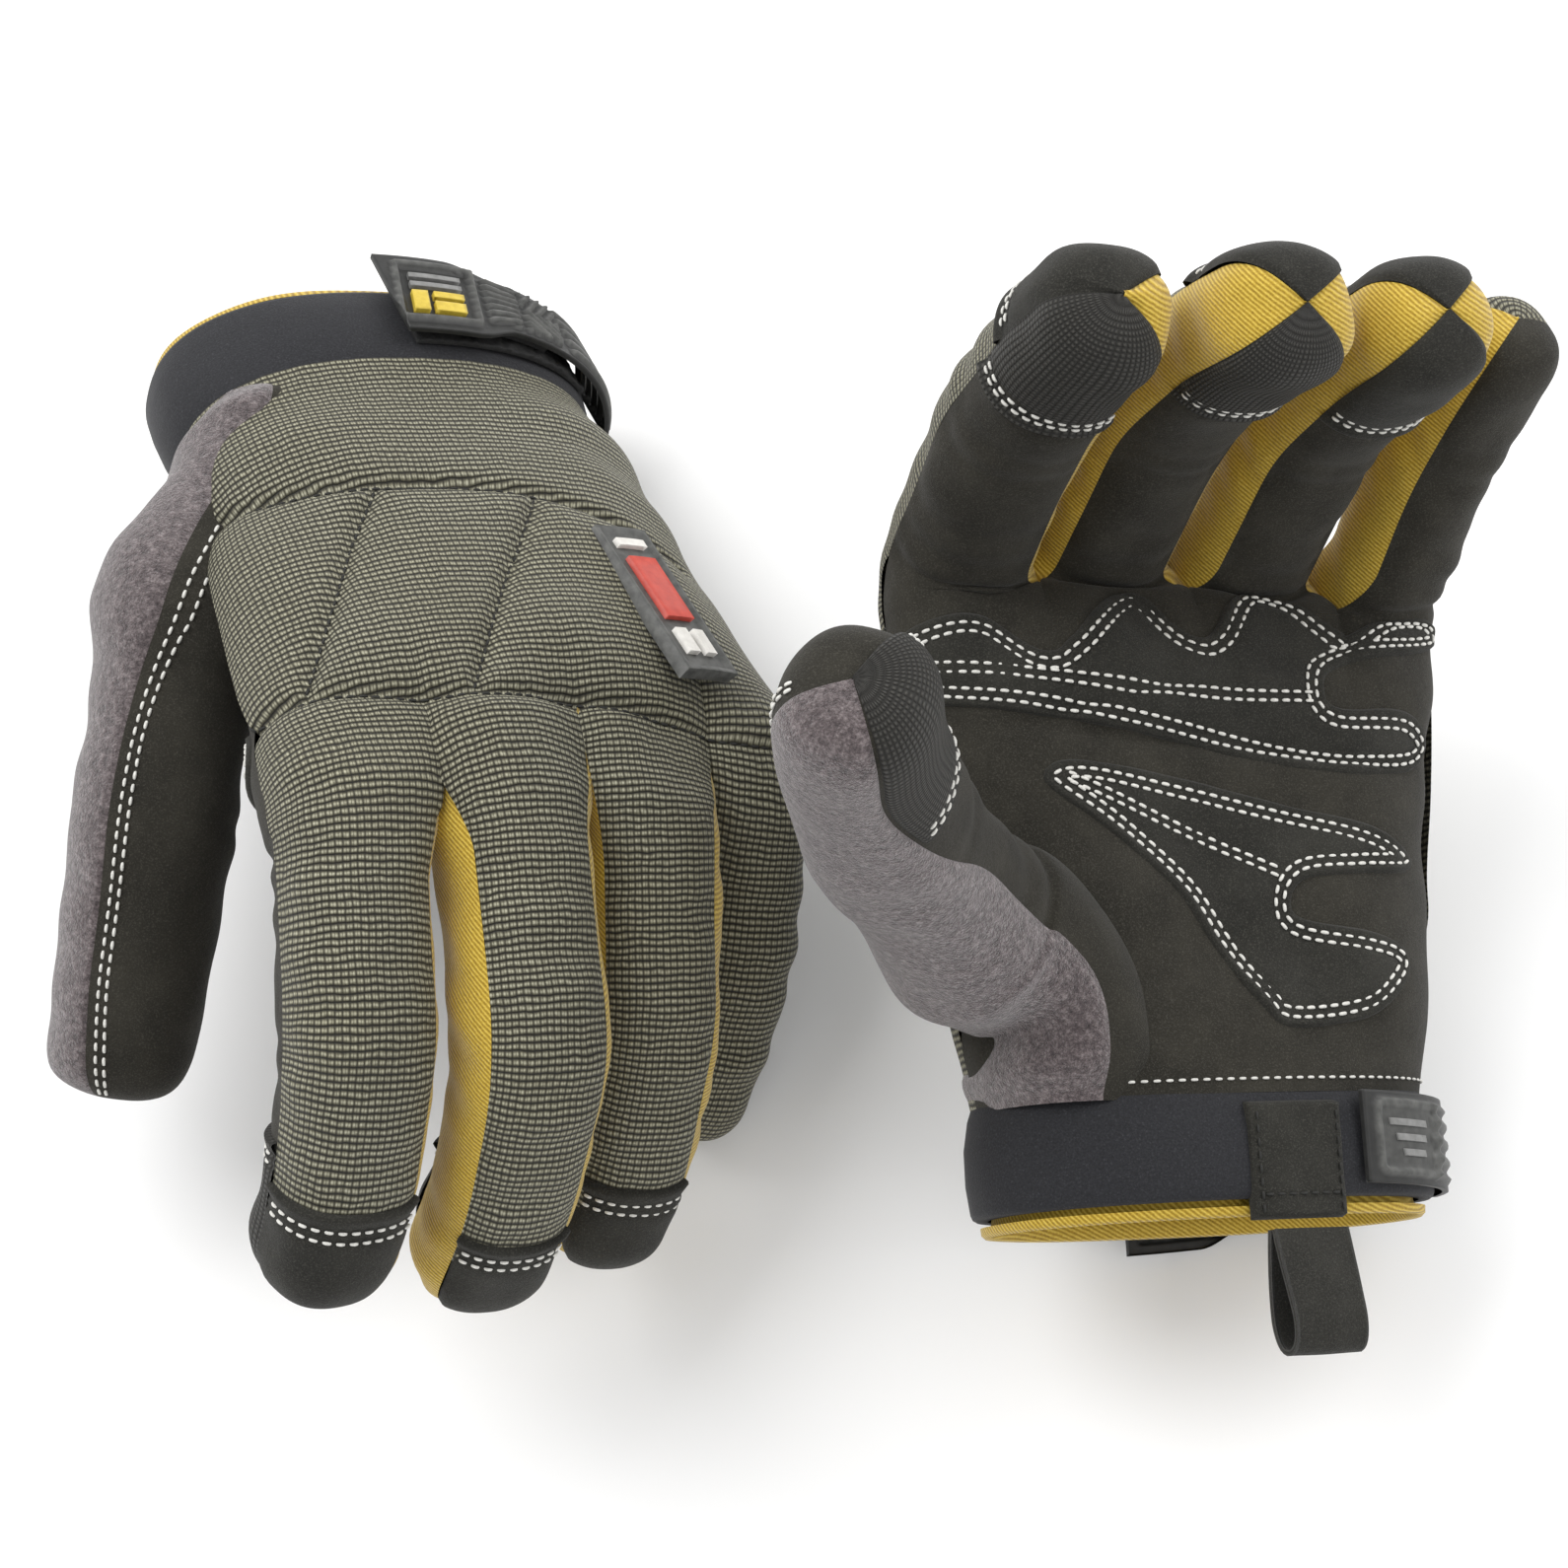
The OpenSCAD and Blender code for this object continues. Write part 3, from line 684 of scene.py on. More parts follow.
def finger_skin(glove, name, top, mat, last, start):
    """One finger's back or palm strip, from the hand skin's last row to the tip or under its cap."""
    d, g = glove.digits[name], glove.g
    end = d.full if name == "little" else d.length - CAP_LONG[top] + 6
    y = d.base[1] + np.append(np.arange(SPLIT - d.base[1], end - 0.3, CELL), end)
    cols = COLUMNS[name]
    p = glove.skin(name, top, y, cols)
    uv = lengths(p, cols // 2, start)
    s = y - d.base[1]
    n = normals(p)
    h = finger_folds(p, s[:, None], not top) * step(SPLIT, SPLIT + 8, y)[:, None]
    h = h + last[None, :] * (1 - step(SPLIT, SPLIT + 16, y))[:, None]
    h = h * (1 - step(end - 9, end - 5, s))[:, None]
    u = np.linspace(0, 1, cols)
    edge = 1 - 0.9 * np.maximum(np.exp(-(u / 0.04) ** 2), np.exp(-((1 - u) / 0.04) ** 2))
    h = h * np.where(y[:, None] > SPLIT + 10, edge[None, :], 1.0)
    p = p + n * h[..., None]
    kind = "back" if top else "palm"
    o = grid_mesh(f"{g}_{name}_{kind}", p, mat, g, None)
    chart(o, uv.reshape(-1, 2))
    bend(o, glove, name)
    return o, p


# u faces the little finger, r faces the index finger
WALLS = (("index", "u"), ("middle", "r"), ("middle", "u"), ("ring", "r"), ("ring", "u"), ("little", "r"))


def walls(glove):
    """Yellow gussets on the facing sides of the fingers."""
    g, made = glove.g, {}
    for name, sd in WALLS:
        d = glove.digits[name]
        k = FINGERS.index(name) - (0 if sd == "u" else 1)
        y = np.append(np.arange(CROTCH[k] - 6, d.base[1] + d.full - 0.3, CELL), d.base[1] + d.full)
        p = glove.wall(name, sd, y)
        ruck = 0.5 * noise(p * [1, 0.8, 1], 6, 4) * step(0, 10, y - CROTCH[k])[:, None]
        ruck = ruck * np.sin(math.pi * np.linspace(0, 1, p.shape[1]))[None, :]
        p = p + normals(p) * ruck[..., None] * (1 if sd == "u" else -1)
        o = grid_mesh(f"{g}_{name}_gusset_{sd}", p, YELLOW, g, None, flip=sd == "r")
        bend(o, glove, name)
        made[name + sd] = o
    return made


def stitch_mesh(name, runs, material, g, length=1.55, gap=0.75, radius=0.33):
    """Threads lying on a surface. Each run is (points, normals) in glove millimetres."""
    verts, faces = [], []
    ring = 6
    shape = [(-0.5, 0.25, -0.25), (-0.42, 0.8, 0.0), (-0.15, 1.0, 0.22), (0.15, 1.0, 0.22),
             (0.42, 0.8, 0.0), (0.5, 0.25, -0.25)]
    for points, normal in runs:
        run = run_along(points)
        if run[-1] < length:
            continue
        count = max(1, int(run[-1] / (length + gap)))
        for c in (np.arange(count) + 0.5) * run[-1] / count:
            a, b = [np.array([np.interp(c + q, run, points[:, k]) for k in range(3)]) for q in (-0.4, 0.4)]
            n = np.array([np.interp(c, run, normal[:, k]) for k in range(3)])
            t = (b - a) / max(np.linalg.norm(b - a), 1e-9)
            n = n - t * (n @ t)
            n /= max(np.linalg.norm(n), 1e-9)
            w = np.cross(t, n)
            mid = (a + b) / 2
            first = len(verts)
            for along, thick, lift in shape:
                for k in range(ring):
                    q = 2 * math.pi * k / ring
                    up = n * (lift * radius + thick * radius * 0.8 * math.sin(q))
                    verts.append(mid + t * along * length + up + w * thick * radius * math.cos(q))
            faces += grid_faces(len(shape), ring, first, closed=True, flip=True)
            faces.append(tuple(range(first, first + ring)))
            end = first + (len(shape) - 1) * ring
            faces.append(tuple(range(end + ring - 1, end - 1, -1)))
    return mesh(name, np.array(verts), faces, material, g, None)


def lifted(surface, a, b, off):
    """A sewing run: points on a surface, off outwards, and the way outwards at each."""
    c = surface(a, b, off)
    return c, surface(a, b, off + 1.0) - c


def cap_piece(glove, name, top, material):
    """A second layer over a fingertip, on its back or palm side, with a rolled edge and two seam rows."""
    d, g = glove.digits[name], glove.g
    i = 0 if top else 2
    a0, a1 = SEAMS[name][i], SEAMS[name][i + 1]
    first = d.length - CAP_LONG[top]
    s = np.concatenate([[first], first + np.array([0.0, 0.25, 0.7, 1.3, 2.0]),
                        np.arange(first + 2.6, d.full, 0.8), [d.full]])
    lift = np.concatenate([[-0.4], [0.35, 0.95, 1.15, 0.95, 0.7], np.full(len(s) - 6, 0.72)])
    for row in (2.6, 4.3):
        lift -= 0.28 * bump(s, first + row, 0.5)
    u = np.linspace(0, 1, 30)
    edge = 0.55 * (np.exp(-(u / 0.05) ** 2) + np.exp(-((1 - u) / 0.05) ** 2))
    off = lift[:, None] - edge[None, :] * 0.9 * step(first, first + 3, s)[:, None]
    shape = d.point(a0 + (a1 - a0) * u[None, :], s[:, None], off)
    soft = 0.35 * noise(shape, 7, 6)[..., None] * (1 - step(d.full - 12, d.full - 5, s))[:, None, None]
    shape = shape + normals(shape) * soft * step(first, first + 4, s)[:, None, None]
    kind = "cap" if top else "grip"
    o = grid_mesh(f"{g}_{name}_{kind}_suede", shape, material, g, side(g, name))
    chart_grid(o, u * PATCH_WIDE, s)
    runs = []
    for row in (2.6, 4.3):
        q = np.linspace(a0 + 5, a1 - 5, 60)
        line = d.point(q, first + row, 0.62)
        runs.append((line, d.point(q, first + row, 1.6) - line))
    t = stitch_mesh(f"{g}_{name}_{kind}_thread", runs, THREAD, g, length=1.5, gap=0.7)
    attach(t, side(g, name))
    return o


# Thumb
THUMB_BACK = -33.0  # distance along the thumb of its root at the wrist, before its hinge
THUMB_GRIP = 36  # length of the grip patch on the thumb
ROOT_X, ROOT_Z, ROOT_WIDE, ROOT_HIGH = 27, -1.5, 17.2, 21.6  # centre and half sizes of the thumb's root


def thumb_point(glove, angle, s, off=0.0):
    """Surface of the thumb, which grows out of the thumb side of the wrist."""
    d = glove.digits["thumb"]
    angle, s, off = np.broadcast_arrays(np.asarray(angle, float), np.asarray(s, float), off)
    r = np.radians(angle)
    y = (s - THUMB_BACK) * 0.93 - 0.5
    full = 3.0 * bump(s, -6, 18)
    grow = 0.86 + 0.14 * step(THUMB_BACK, THUMB_BACK + 7, s)
    ring = np.stack([ROOT_X + (ROOT_WIDE * grow + off) * power(np.cos(r), 0.95), y,
                     ROOT_Z + (ROOT_HIGH * grow + off) * power(np.sin(r), 0.95)], -1)
    w = step(THUMB_BACK, 2, s)[..., None]
    return (1 - w) * ring + w * d.point(angle, s, off + full + 0.7 * bump(s, 40, 12))


def fleece_edge(s, length):
    """Angles between which the thumb is fleece: palm side and back side."""
    low = -88 + 58 * step(20, length - 14, s)
    high = 84 - 26 * step(-10, 30, s) + 8 * step(length - 25, length, s)
    return low, high


def outside(p, faces, depth=2.0):
    """The faces of a root that aren't buried in the hand, where they would show inside the lining."""
    x, y, z = p.reshape(-1, 3).T
    across = np.abs(x / (half_w(y) - depth)) ** (2 / POWER)
    buried = (across + np.abs(z / (half_t(y) - depth)) ** (2 / POWER) < 1) & (y < 86)
    return [f for f in faces if not all(buried[k] for k in f)]


def thumb(glove):
    g, d = glove.g, glove.digits["thumb"]
    on_thumb = lambda angle, s, off: thumb_point(glove, angle, s, off)
    s = np.append(np.arange(THUMB_BACK, d.full - 0.3, CELL), d.full)
    low, high = fleece_edge(s, d.length)
    u = np.linspace(0, 1, 46)
    tip_fade = (1 - step(d.full - 12, d.full - 4, s))[:, None]
    q = low[:, None] + (high - low)[:, None] * u
    p = thumb_point(glove, q, s[:, None])
    n = normals(p)
    fuzz = 0.9 * np.sin(math.pi * u)[None, :] ** 0.3 + 0.35 * noise(p, 9, 2) * np.sin(math.pi * u)[None, :]
    p = p + n * (fuzz * tip_fade * step(THUMB_BACK, THUMB_BACK + 8, s)[:, None])[..., None]
    fleece = grid_mesh(f"{g}_thumb_fleece_skin", p, FLEECE, g, None, keep=outside)
    bend(fleece, glove, "thumb")
    u = np.linspace(0, 1, 60)
    q = high[:, None] + (low + 360 - high)[:, None] * u
    p = thumb_point(glove, q, s[:, None])
    inner = bump(q, 200, 70)
    crease = -1.2 * inner * (bump(s, 4, 2.4) + bump(s, 12, 2.6) + 0.8 * bump(s, 38, 2.6))[:, None]
    soft = crease + 0.4 * noise(p, 11, 3) * np.sin(math.pi * u)[None, :]
    p = p + normals(p) * (soft * tip_fade)[..., None]
    suede = grid_mesh(f"{g}_thumb_suede_skin", p, SUEDE, g, None, keep=outside)
    chart_grid(suede, u * THUMB_WIDE, s)
    bend(suede, glove, "thumb")
    line = np.arange(-22, d.full - 6, 0.8)
    runs = []
    for extra in (9, 15.5):
        a = fleece_edge(line, d.length)[1] + extra
        c = thumb_point(glove, a, line, 0.15)
        runs.append((c, thumb_point(glove, a, line, 1.15) - c))
    bend(stitch_mesh(f"{g}_thumb_thread", runs, THREAD, g), glove, "thumb")
    first = d.length - THUMB_GRIP
    s = np.concatenate([[first, first + 0.3, first + 0.8], np.arange(first + 1.5, d.full, 0.8), [d.full]])
    low, high = fleece_edge(s, d.length)
    a0, a1 = 196 + 0 * s, low + 358
    u = np.linspace(0, 1, 34)
    inward = np.minimum((s - first)[:, None] + 0 * u, 12 * np.minimum(u, 1 - u)[None, :])
    lift = np.minimum(0.75, -0.3 + 2.4 * inward)
    q = a0[:, None] + (a1 - a0)[:, None] * u
    p = thumb_point(glove, q, s[:, None], lift)
    grip = grid_mesh(f"{g}_thumb_grip_patch", p, GRIP, g, side(g, "thumb"))
    chart_grid(grip, u * PATCH_WIDE, s)
    runs = []
    for gap in (2.2, 3.8):
        q = np.linspace(200 + gap * 3, float(low[0]) + 356 - gap, 40)
        t = np.arange(first + gap, d.full - 10, 0.8)
        runs += [lifted(on_thumb, q, first + gap, 0.75), lifted(on_thumb, 196 + gap * 4.2, t, 0.75)]
    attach(stitch_mesh(f"{g}_thumb_grip_thread", runs, THREAD, g), side(g, "thumb"))
    return fleece, suede, grip


# Cuff, lining, strap
# Share of the way from the cuff's free edge to its seam, and millimetres out from the hand
CUFF_RINGS = ((0.0, -1.8), (0.0, 0.2), (0.02, 0.8), (0.06, 1.1), (0.3, 1.5), (0.6, 1.4), (0.85, 0.6),
              (1.0, -0.6))
# Millimetres past the cuff's free edge, and out from the hand
SLEEVE_RINGS = ((1.2, -0.6), (2.4, -0.7), (3.0, -1.3), (2.6, -2.0), (0.0, -2.6), (-14, -3.0), (-40, -4),
                (-66, -5))


def cuff_edge(t):
    """Height along the hand of the cuff's free edge, at each angle."""
    return -18.8 - 0.8 * np.sin(np.radians(t))


def cuff_shape(glove):
    g = glove.g
    t = np.linspace(0, 360, 145)[:-1]
    rows = []
    for k, off in CUFF_RINGS:
        y = cuff_edge(t) * (1 - k) + 1.5 * k
        wave = 0.35 * np.sin(np.radians(t) * 5 + 1) * math.sin(math.pi * k)
        rows.append(hand(t, y, off + wave))
    p = np.array(rows)
    cuff = grid_mesh(f"{g}_cuff_band", p, NEOPRENE, g, side(g, "hand"), closed=True)
    rows = []
    for back, off in SLEEVE_RINGS:
        rows.append(hand(t, cuff_edge(t) - back, off + 0.2 * np.sin(np.radians(t) * 7)))
    p = np.array(rows)
    faces = grid_faces(*p.shape[:2], closed=True, flip=True)
    faces.append(tuple(range(len(p.reshape(-1, 3)) - len(t), len(p.reshape(-1, 3)))))
    return cuff, mesh(f"{g}_lining_sleeve", p.reshape(-1, 3), faces, YELLOW, g, side(g, "hand"))


# Bands on the cuff
RELIEF_CELL = 0.5


def band(glove, name, t0, t1, y0, y1, wide, base, relief, material, body):
    """A moulded strip round the cuff with its relief in the shape. relief(u, v) gives millimetres of height
    at u along the strip and v across it."""
    a = np.linspace(0, 1, 200)
    run = run_along(hand(t0 + (t1 - t0) * a, CUFF_MID, base))
    long = run[-1]
    u = np.arange(0, long + RELIEF_CELL / 2, RELIEF_CELL)
    u = np.concatenate([[0, 0], u, [u[-1], u[-1]]])
    v = np.arange(-1, 1.001, 2 * RELIEF_CELL / max(wide(0.0), wide(1.0)))
    v = np.concatenate([[-1, -1], v, [1, 1]])
    share = np.interp(u, run, a)[None, :]
    half = wide(share) / 2
    y = y0 + (y1 - y0) * share + v[:, None] * half
    h = base + relief(u[None, :] + 0 * y, v[:, None] * half)
    h[[1, -2]] -= 0.5
    h[:, [1, -2]] -= 0.5
    skirt(h, base - 0.6)
    p = hand(t0 + (t1 - t0) * share + 0 * y, y, h)
    flip = t1 < t0
    o = grid_mesh(f"{glove.g}_{name}", p, material, glove.g, body, flip=flip)
    # Painted shade: marks the low parts of the relief, which the rubber colour darkens as shade in the
    # grooves.
    deep = o.data.attributes.new("painted_groove_shade", "FLOAT", "POINT")
    low = 1 - step(base + 0.55, base + 1.15, h)
    deep.data.foreach_set("value", low.astype(np.float32).ravel())
    return o


def soft_box(u, v, u0, u1, v0, v1, edge=0.35):
    """1 inside a rectangle, falling to 0 over the edge."""
    return (step(u0 - edge, u0 + edge, u) * (1 - step(u1 - edge, u1 + edge, u))
            * step(v0 - edge, v0 + edge, v) * (1 - step(v1 - edge, v1 + edge, v)))


def ribs(v, pitch, sharp=0.35):
    w = np.abs(((v / pitch) % 1.0) - 0.5) * 2
    return step(0.5 - sharp, 0.5 + sharp, w)


TAB = 19.0


def strap_relief(u, v):
    """Moulded strap: a framed tab at its free end, then a fan, two chevrons and long parallel ribs."""
    slant = u + 0.22 * v
    panel = soft_box(slant, v, 2.2, TAB - 2.4, -8.0, 8.0)
    frame_line = soft_box(slant, v, 1.0, TAB - 1.2, -9.2, 9.2) - panel
    fan = step(TAB, TAB + 0.6, slant) * (1 - step(TAB + 7.4, TAB + 8.0, slant))
    fan_rib = ribs(v * (1.0 + 0.05 * (u - TAB)) + 0.4, 2.3)
    chev = step(TAB + 8.6, TAB + 9.2, slant) * (1 - step(TAB + 17.4, TAB + 18.0, slant))
    chev_rib = ribs(u - 0.8 * np.abs(v), 2.4)
    rest = step(TAB + 18.6, TAB + 19.2, u)
    rest_rib = ribs(v + 0.2, 3.3)
    inside = 1 - step(6.6, 7.2, np.abs(v))
    return (0.5 + 1.0 * frame_line - 0.3 * panel + 1.1 * inside * (fan * fan_rib + chev * chev_rib)
            + 1.1 * inside * rest * rest_rib)


def marks(glove, name, t0, t1, y0, y1, base, shapes, material, body, lift=1.0):
    """Raised plain shapes (rectangles in strip millimetres, slanted) on a strip."""
    a = np.linspace(0, 1, 200)
    run = run_along(hand(t0 + (t1 - t0) * a, CUFF_MID, base))
    verts, faces = [], []
    for u0, u1, v0, v1 in shapes:
        u, v = rimmed(u0, u1, 9), rimmed(v0, v1, 9)
        uu = u[None, :] - 0.22 * v[:, None]
        share = np.interp(uu, run, a)
        h = np.full(uu.shape, base + lift)
        h[[1, -2]] -= 0.12
        h[:, [1, -2]] -= 0.12
        skirt(h, base - 0.2)
        y = y0 + (y1 - y0) * share + v[:, None]
        faces += grid_faces(13, 13, len(verts), flip=t1 < t0)
        verts += list(hand(t0 + (t1 - t0) * share, y, h).reshape(-1, 3))
    return mesh(f"{glove.g}_{name}", np.array(verts), faces, material, glove.g, body)


def anchor_relief(u, v):
    """Sewn end of the strap: a rounded raised plate, then parallel ribs."""
    d = np.hypot(np.maximum(np.abs(u - 10.5) - 6.5, 0), np.maximum(np.abs(v) - 4.5, 0))
    plate = 0.9 * (1 - step(1.9, 2.5, d)) - 0.55 * (1 - step(0.7, 1.3, d))
    rib = 0.7 * ribs(v, 3.2) * step(16.5, 17.5, u) * (1 - step(6.2, 6.8, np.abs(v)))
    return 0.5 + plate + rib


def strap_set(glove):
    g = glove.g
    free = side(g, "strap")
    wide = lambda a: 23 - 6.5 * step(0.16, 0.3, a)
    o = band(glove, "strap_moulded", *STRAP, wide, 4.9, strap_relief, RUBBER, free)
    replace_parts(o, f"{g}_strap")
    y = marks(glove, "strap_mark_yellow", *STRAP, 5.2, [(4, 7.2, 0.5, 6.6), (8.4, 14.6, 3.6, 6.6),
              (8.4, 14.6, 0.5, 2.4)], MARK_YELLOW, free)
    w = marks(glove, "strap_mark_grey", *STRAP, 5.2, [(4, 14.6, -2.6, -1.2), (4, 14.6, -5.4, -4.0)],
              GREY_MARK, free, 0.8)
    flat = lambda a: 14.5 + 0 * a
    hook = band(glove, "hook_strip", 92, 126, -13.9, -12.1, flat, 3.5, lambda u, v: 0.6 + 0.35 * noise(
        np.stack([u, v, u * 0], -1), 1.2), HOOK, free)
    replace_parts(hook, f"{g}_hook_pad")
    patch = band(glove, "loop_strip", 90, 150, -11.3, -11.3, lambda a: 17 + 0 * a, 1.9,
                 lambda u, v: 0.35 + 0.25 * noise(np.stack([u, v, u * 0], -1), 1.2), HOOK, side(g, "hand"))
    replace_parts(patch, f"{g}_loop_patch")
    anchor = band(glove, "strap_anchor_moulded", *ANCHOR, lambda a: 16 + 0 * a, 3.0, anchor_relief, RUBBER,
                  side(g, "hand"))
    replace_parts(anchor, f"{g}_strap_anchor")
    bars = [(5.5, 15.5, 2.0, 3.2), (6.5, 14.5, -0.6, 0.6), (7.5, 13.5, -3.2, -2.0)]
    marks(glove, "anchor_mark", *ANCHOR, 3.4, bars, GREY_MARK, side(g, "hand"), 0.75)


# Angles round the cuff from and to, then heights along the hand at those two ends
STRAP, ANCHOR, LOOP_T = (88, 174, -13.9, -9.8), (248, 183, -8, -10), (253, 273)
BADGE_LONG, BADGE_WIDE, BADGE_T, BADGE_Y = 36.0, 13.0, 111, 84


def badge(glove):
    """Slanted moulded badge on the back: dark plate, raised rim, plain white and red blocks."""
    g = glove.g
    u, v = rimmed(0, 1, 44), rimmed(0, 1, 34)

    def at(u, v, h):
        return hand(BADGE_T - 4 * u + 16 * v, BADGE_Y - BADGE_LONG * u - 2 * v, h)

    U, V = np.meshgrid(u, v, indexing="ij")
    d = np.minimum(np.minimum(U, 1 - U) * BADGE_LONG, np.minimum(V, 1 - V) * BADGE_WIDE)
    h = 2.0 + 0.8 * (1 - step(0.8, 1.3, d))
    skirt(h, 0.2)
    p = at(U, V, h)
    o = grid_mesh(f"{g}_badge_plate", p, RUBBER, g, side(g, "hand"), flip=True)
    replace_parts(o, f"{g}_back_badge")

    def block(name, boxes, material):
        verts, faces = [], []
        for u0, u1, v0, v1, lean in boxes:
            a, b = rimmed(u0, u1, 7), rimmed(v0, v1, 7)
            A, B = np.meshgrid(a, b, indexing="ij")
            h = np.full(A.shape, 3.0)
            skirt(h, 2.0)
            faces += grid_faces(11, 11, len(verts), flip=True)
            verts += list(at(A + lean * (B - v0), B, h).reshape(-1, 3))
        mesh(f"{g}_badge_{name}", np.array(verts), faces, material, g, side(g, "hand"))

    block("white", [(0.12, 0.28, 0.22, 0.42, 0), (0.12, 0.28, 0.56, 0.76, 0), (0.86, 0.91, 0.22, 0.76, 0)],
          MARK_WHITE)
    block("red", [(0.36, 0.78, 0.24, 0.76, 0)], MARK_RED)


def pull_loop(glove):
    """Webbing sewn flat on the cuff, then folded into a free loop below it."""
    g = glove.g
    t0, t1 = LOOP_T
    n = 41
    y = np.linspace(-1.5, -21.7, 34)
    t = np.linspace(t0, t1, n)
    h = 1.9 + 0.25 * step(0, 2, np.minimum(np.arange(n), np.arange(n)[::-1]) / 2.0)[None, :] + 0 * y[:, None]
    h = h + 0.12 * noise(hand(t[None, :], y[:, None], 2), 5)
    skirt(h, 0.3)
    p = hand(t[None, :], y[:, None], h)[::-1]
    o = grid_mesh(f"{g}_loop_tab_web", p, PATCH, g, side(g, "hand"))
    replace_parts(o, f"{g}_loop_tab")
    runs = []
    for tt in (t0 + 1.8, t1 - 1.8):
        yy = np.linspace(-3, -21, 40)
        runs.append(lifted(hand, tt + 0 * yy, yy, 2.3))
    tt = np.linspace(t0 + 2, t1 - 2, 30)
    runs.append(lifted(hand, tt, -17.5 + 0 * tt, 2.3))
    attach(stitch_mesh(f"{g}_loop_tab_thread", runs, DARK_THREAD, g, 1.4, 0.7, 0.28), side(g, "hand"))
    c = hand((t0 + t1) / 2, -22.0, 1.2)
    q, r = {"a": (-14, 10), "b": (4, 11)}[g]
    turn = rot("y", r) @ rot("x", q)
    line = dense([(0.5, -0.3), (1.5, -5), (2.6, -11), (3.0, -16), (2.0, -19.6), (0, -20.9),
                  (-2.0, -19.6), (-2.8, -16), (-2.2, -11), (-1.2, -5), (-0.5, -0.3)], 0.8)
    tan = np.gradient(line, axis=0)
    nor = np.stack([-tan[:, 1], tan[:, 0]], -1) / np.linalg.norm(tan, axis=1, keepdims=True)
    w = rimmed(-1, 1, 25)
    rings = []
    for sgn in (0.55, -0.55):
        m = line[:, None] + nor[:, None] * (sgn * (1 + 0.1 * np.cos(w * 3))[None, :, None])
        m[:, [0, -1]] = line[:, None]
        x = np.broadcast_to(w[None, :] * 8 * (1 - 0.05 * step(-2, -18, line[:, 1]))[:, None], m.shape[:2])
        rings.append(np.stack([x, m[..., 1], m[..., 0]], -1))
    verts, faces = [], []
    for i, m in enumerate(rings):
        faces += grid_faces(*m.shape[:2], start=len(verts), flip=i == 0)
        verts += list(m.reshape(-1, 3))
    verts = np.array(verts) @ turn.T + np.array([c[0], -23.2, c[2]])
    o = mesh(f"{g}_pull_loop_web", verts, faces, PATCH, g, side(g, "pull_loop"))
    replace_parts(o, f"{g}_pull_loop")


# Palm patches
UPPER = [(52, 82), (47, 85.5), (40, 85), (31, 78.5), (25, 80.5), (15.5, 90.5), (10, 89.5), (3, 82),
         (-3, 82.5), (-11.5, 92.5), (-19, 92), (-27, 84), (-31, 83.5), (-42, 92), (-49, 90.5), (-50, 84),
         (-42, 80), (-26, 76.5), (-22.5, 72.5), (-25, 69), (-40, 69), (-46, 64), (-42, 58.5), (-30, 57),
         (-16, 58), (15, 64), (47, 70), (52, 75)]
LOWER = [(33, 56.5), (30, 59), (22, 59), (6, 56), (-11, 52), (-30, 47.5), (-38.5, 43), (-37.5, 39.5),
         (-26, 38.5), (-15, 37.5), (-12, 33.5), (-15, 30.5), (-31, 27), (-34, 23), (-31, 18), (-23, 12.5),
         (-8, 11), (-3, 15), (4, 26), (10.5, 36), (20, 45), (31, 53)]
INNER = {"upper": [(48, 77), (17, 72), (-20, 70.8)], "lower": [(29, 56), (10.5, 48.3), (-10, 38.8)]}


class Palm:
    """The palm skin as a sheet addressed by arc length round the hand and distance along it."""

    def __init__(self, glove):
        self.y = np.arange(0, 99, CELL)
        order = FINGERS[::-1]
        p = join_strips([glove.skin(n, False, self.y, COLUMNS[n]) for n in order])
        self.t = join_strips([np.linspace(*HAND_SEAMS[n][2:], COLUMNS[n])[None, :] for n in order])[0]
        h = palm_relief(p)
        self.p = p + normals(p) * h[..., None]
        self.n = normals(self.p)
        fine = np.linspace(182, 360, 400)
        ring = hand(fine, 60.0)
        self.fine = fine
        self.arc = run_along(ring)

    def flat(self, xy):
        """From x, y on the hand to arc length, y."""
        xy = np.array(xy, float)
        c = np.clip(xy[:, 0] / half_w(xy[:, 1]), -0.999, 0.999)
        t = 360 - np.degrees(np.arccos(np.sign(c) * np.abs(c) ** (1 / POWER)))
        return np.stack([np.interp(t, self.fine, self.arc), xy[:, 1]], -1)

    def lift(self, ay, height):
        t = np.interp(ay[:, 0], self.arc, self.fine)
        i = np.clip(ay[:, 1] / CELL, 0, len(self.y) - 1.001)
        j = np.interp(t, self.t, np.arange(len(self.t)))
        j = np.clip(j, 0, len(self.t) - 1.001)
        i0, j0 = i.astype(int), j.astype(int)
        fi, fj = (i - i0)[:, None], (j - j0)[:, None]

        def look(m):
            return ((m[i0, j0] * (1 - fj) + m[i0, j0 + 1] * fj) * (1 - fi)
                    + (m[i0 + 1, j0] * (1 - fj) + m[i0 + 1, j0 + 1] * fj) * fi)

        n = look(self.n)
        n /= np.linalg.norm(n, axis=1, keepdims=True)
        return look(self.p) + n * np.asarray(height)[:, None], n


ROWS = (1.9, 3.5)


def patch_height(d):
    return -0.35 + 1.25 * step(-0.1, 0.7, d) - sum(0.32 * bump(d, r, 0.5) for r in ROWS)


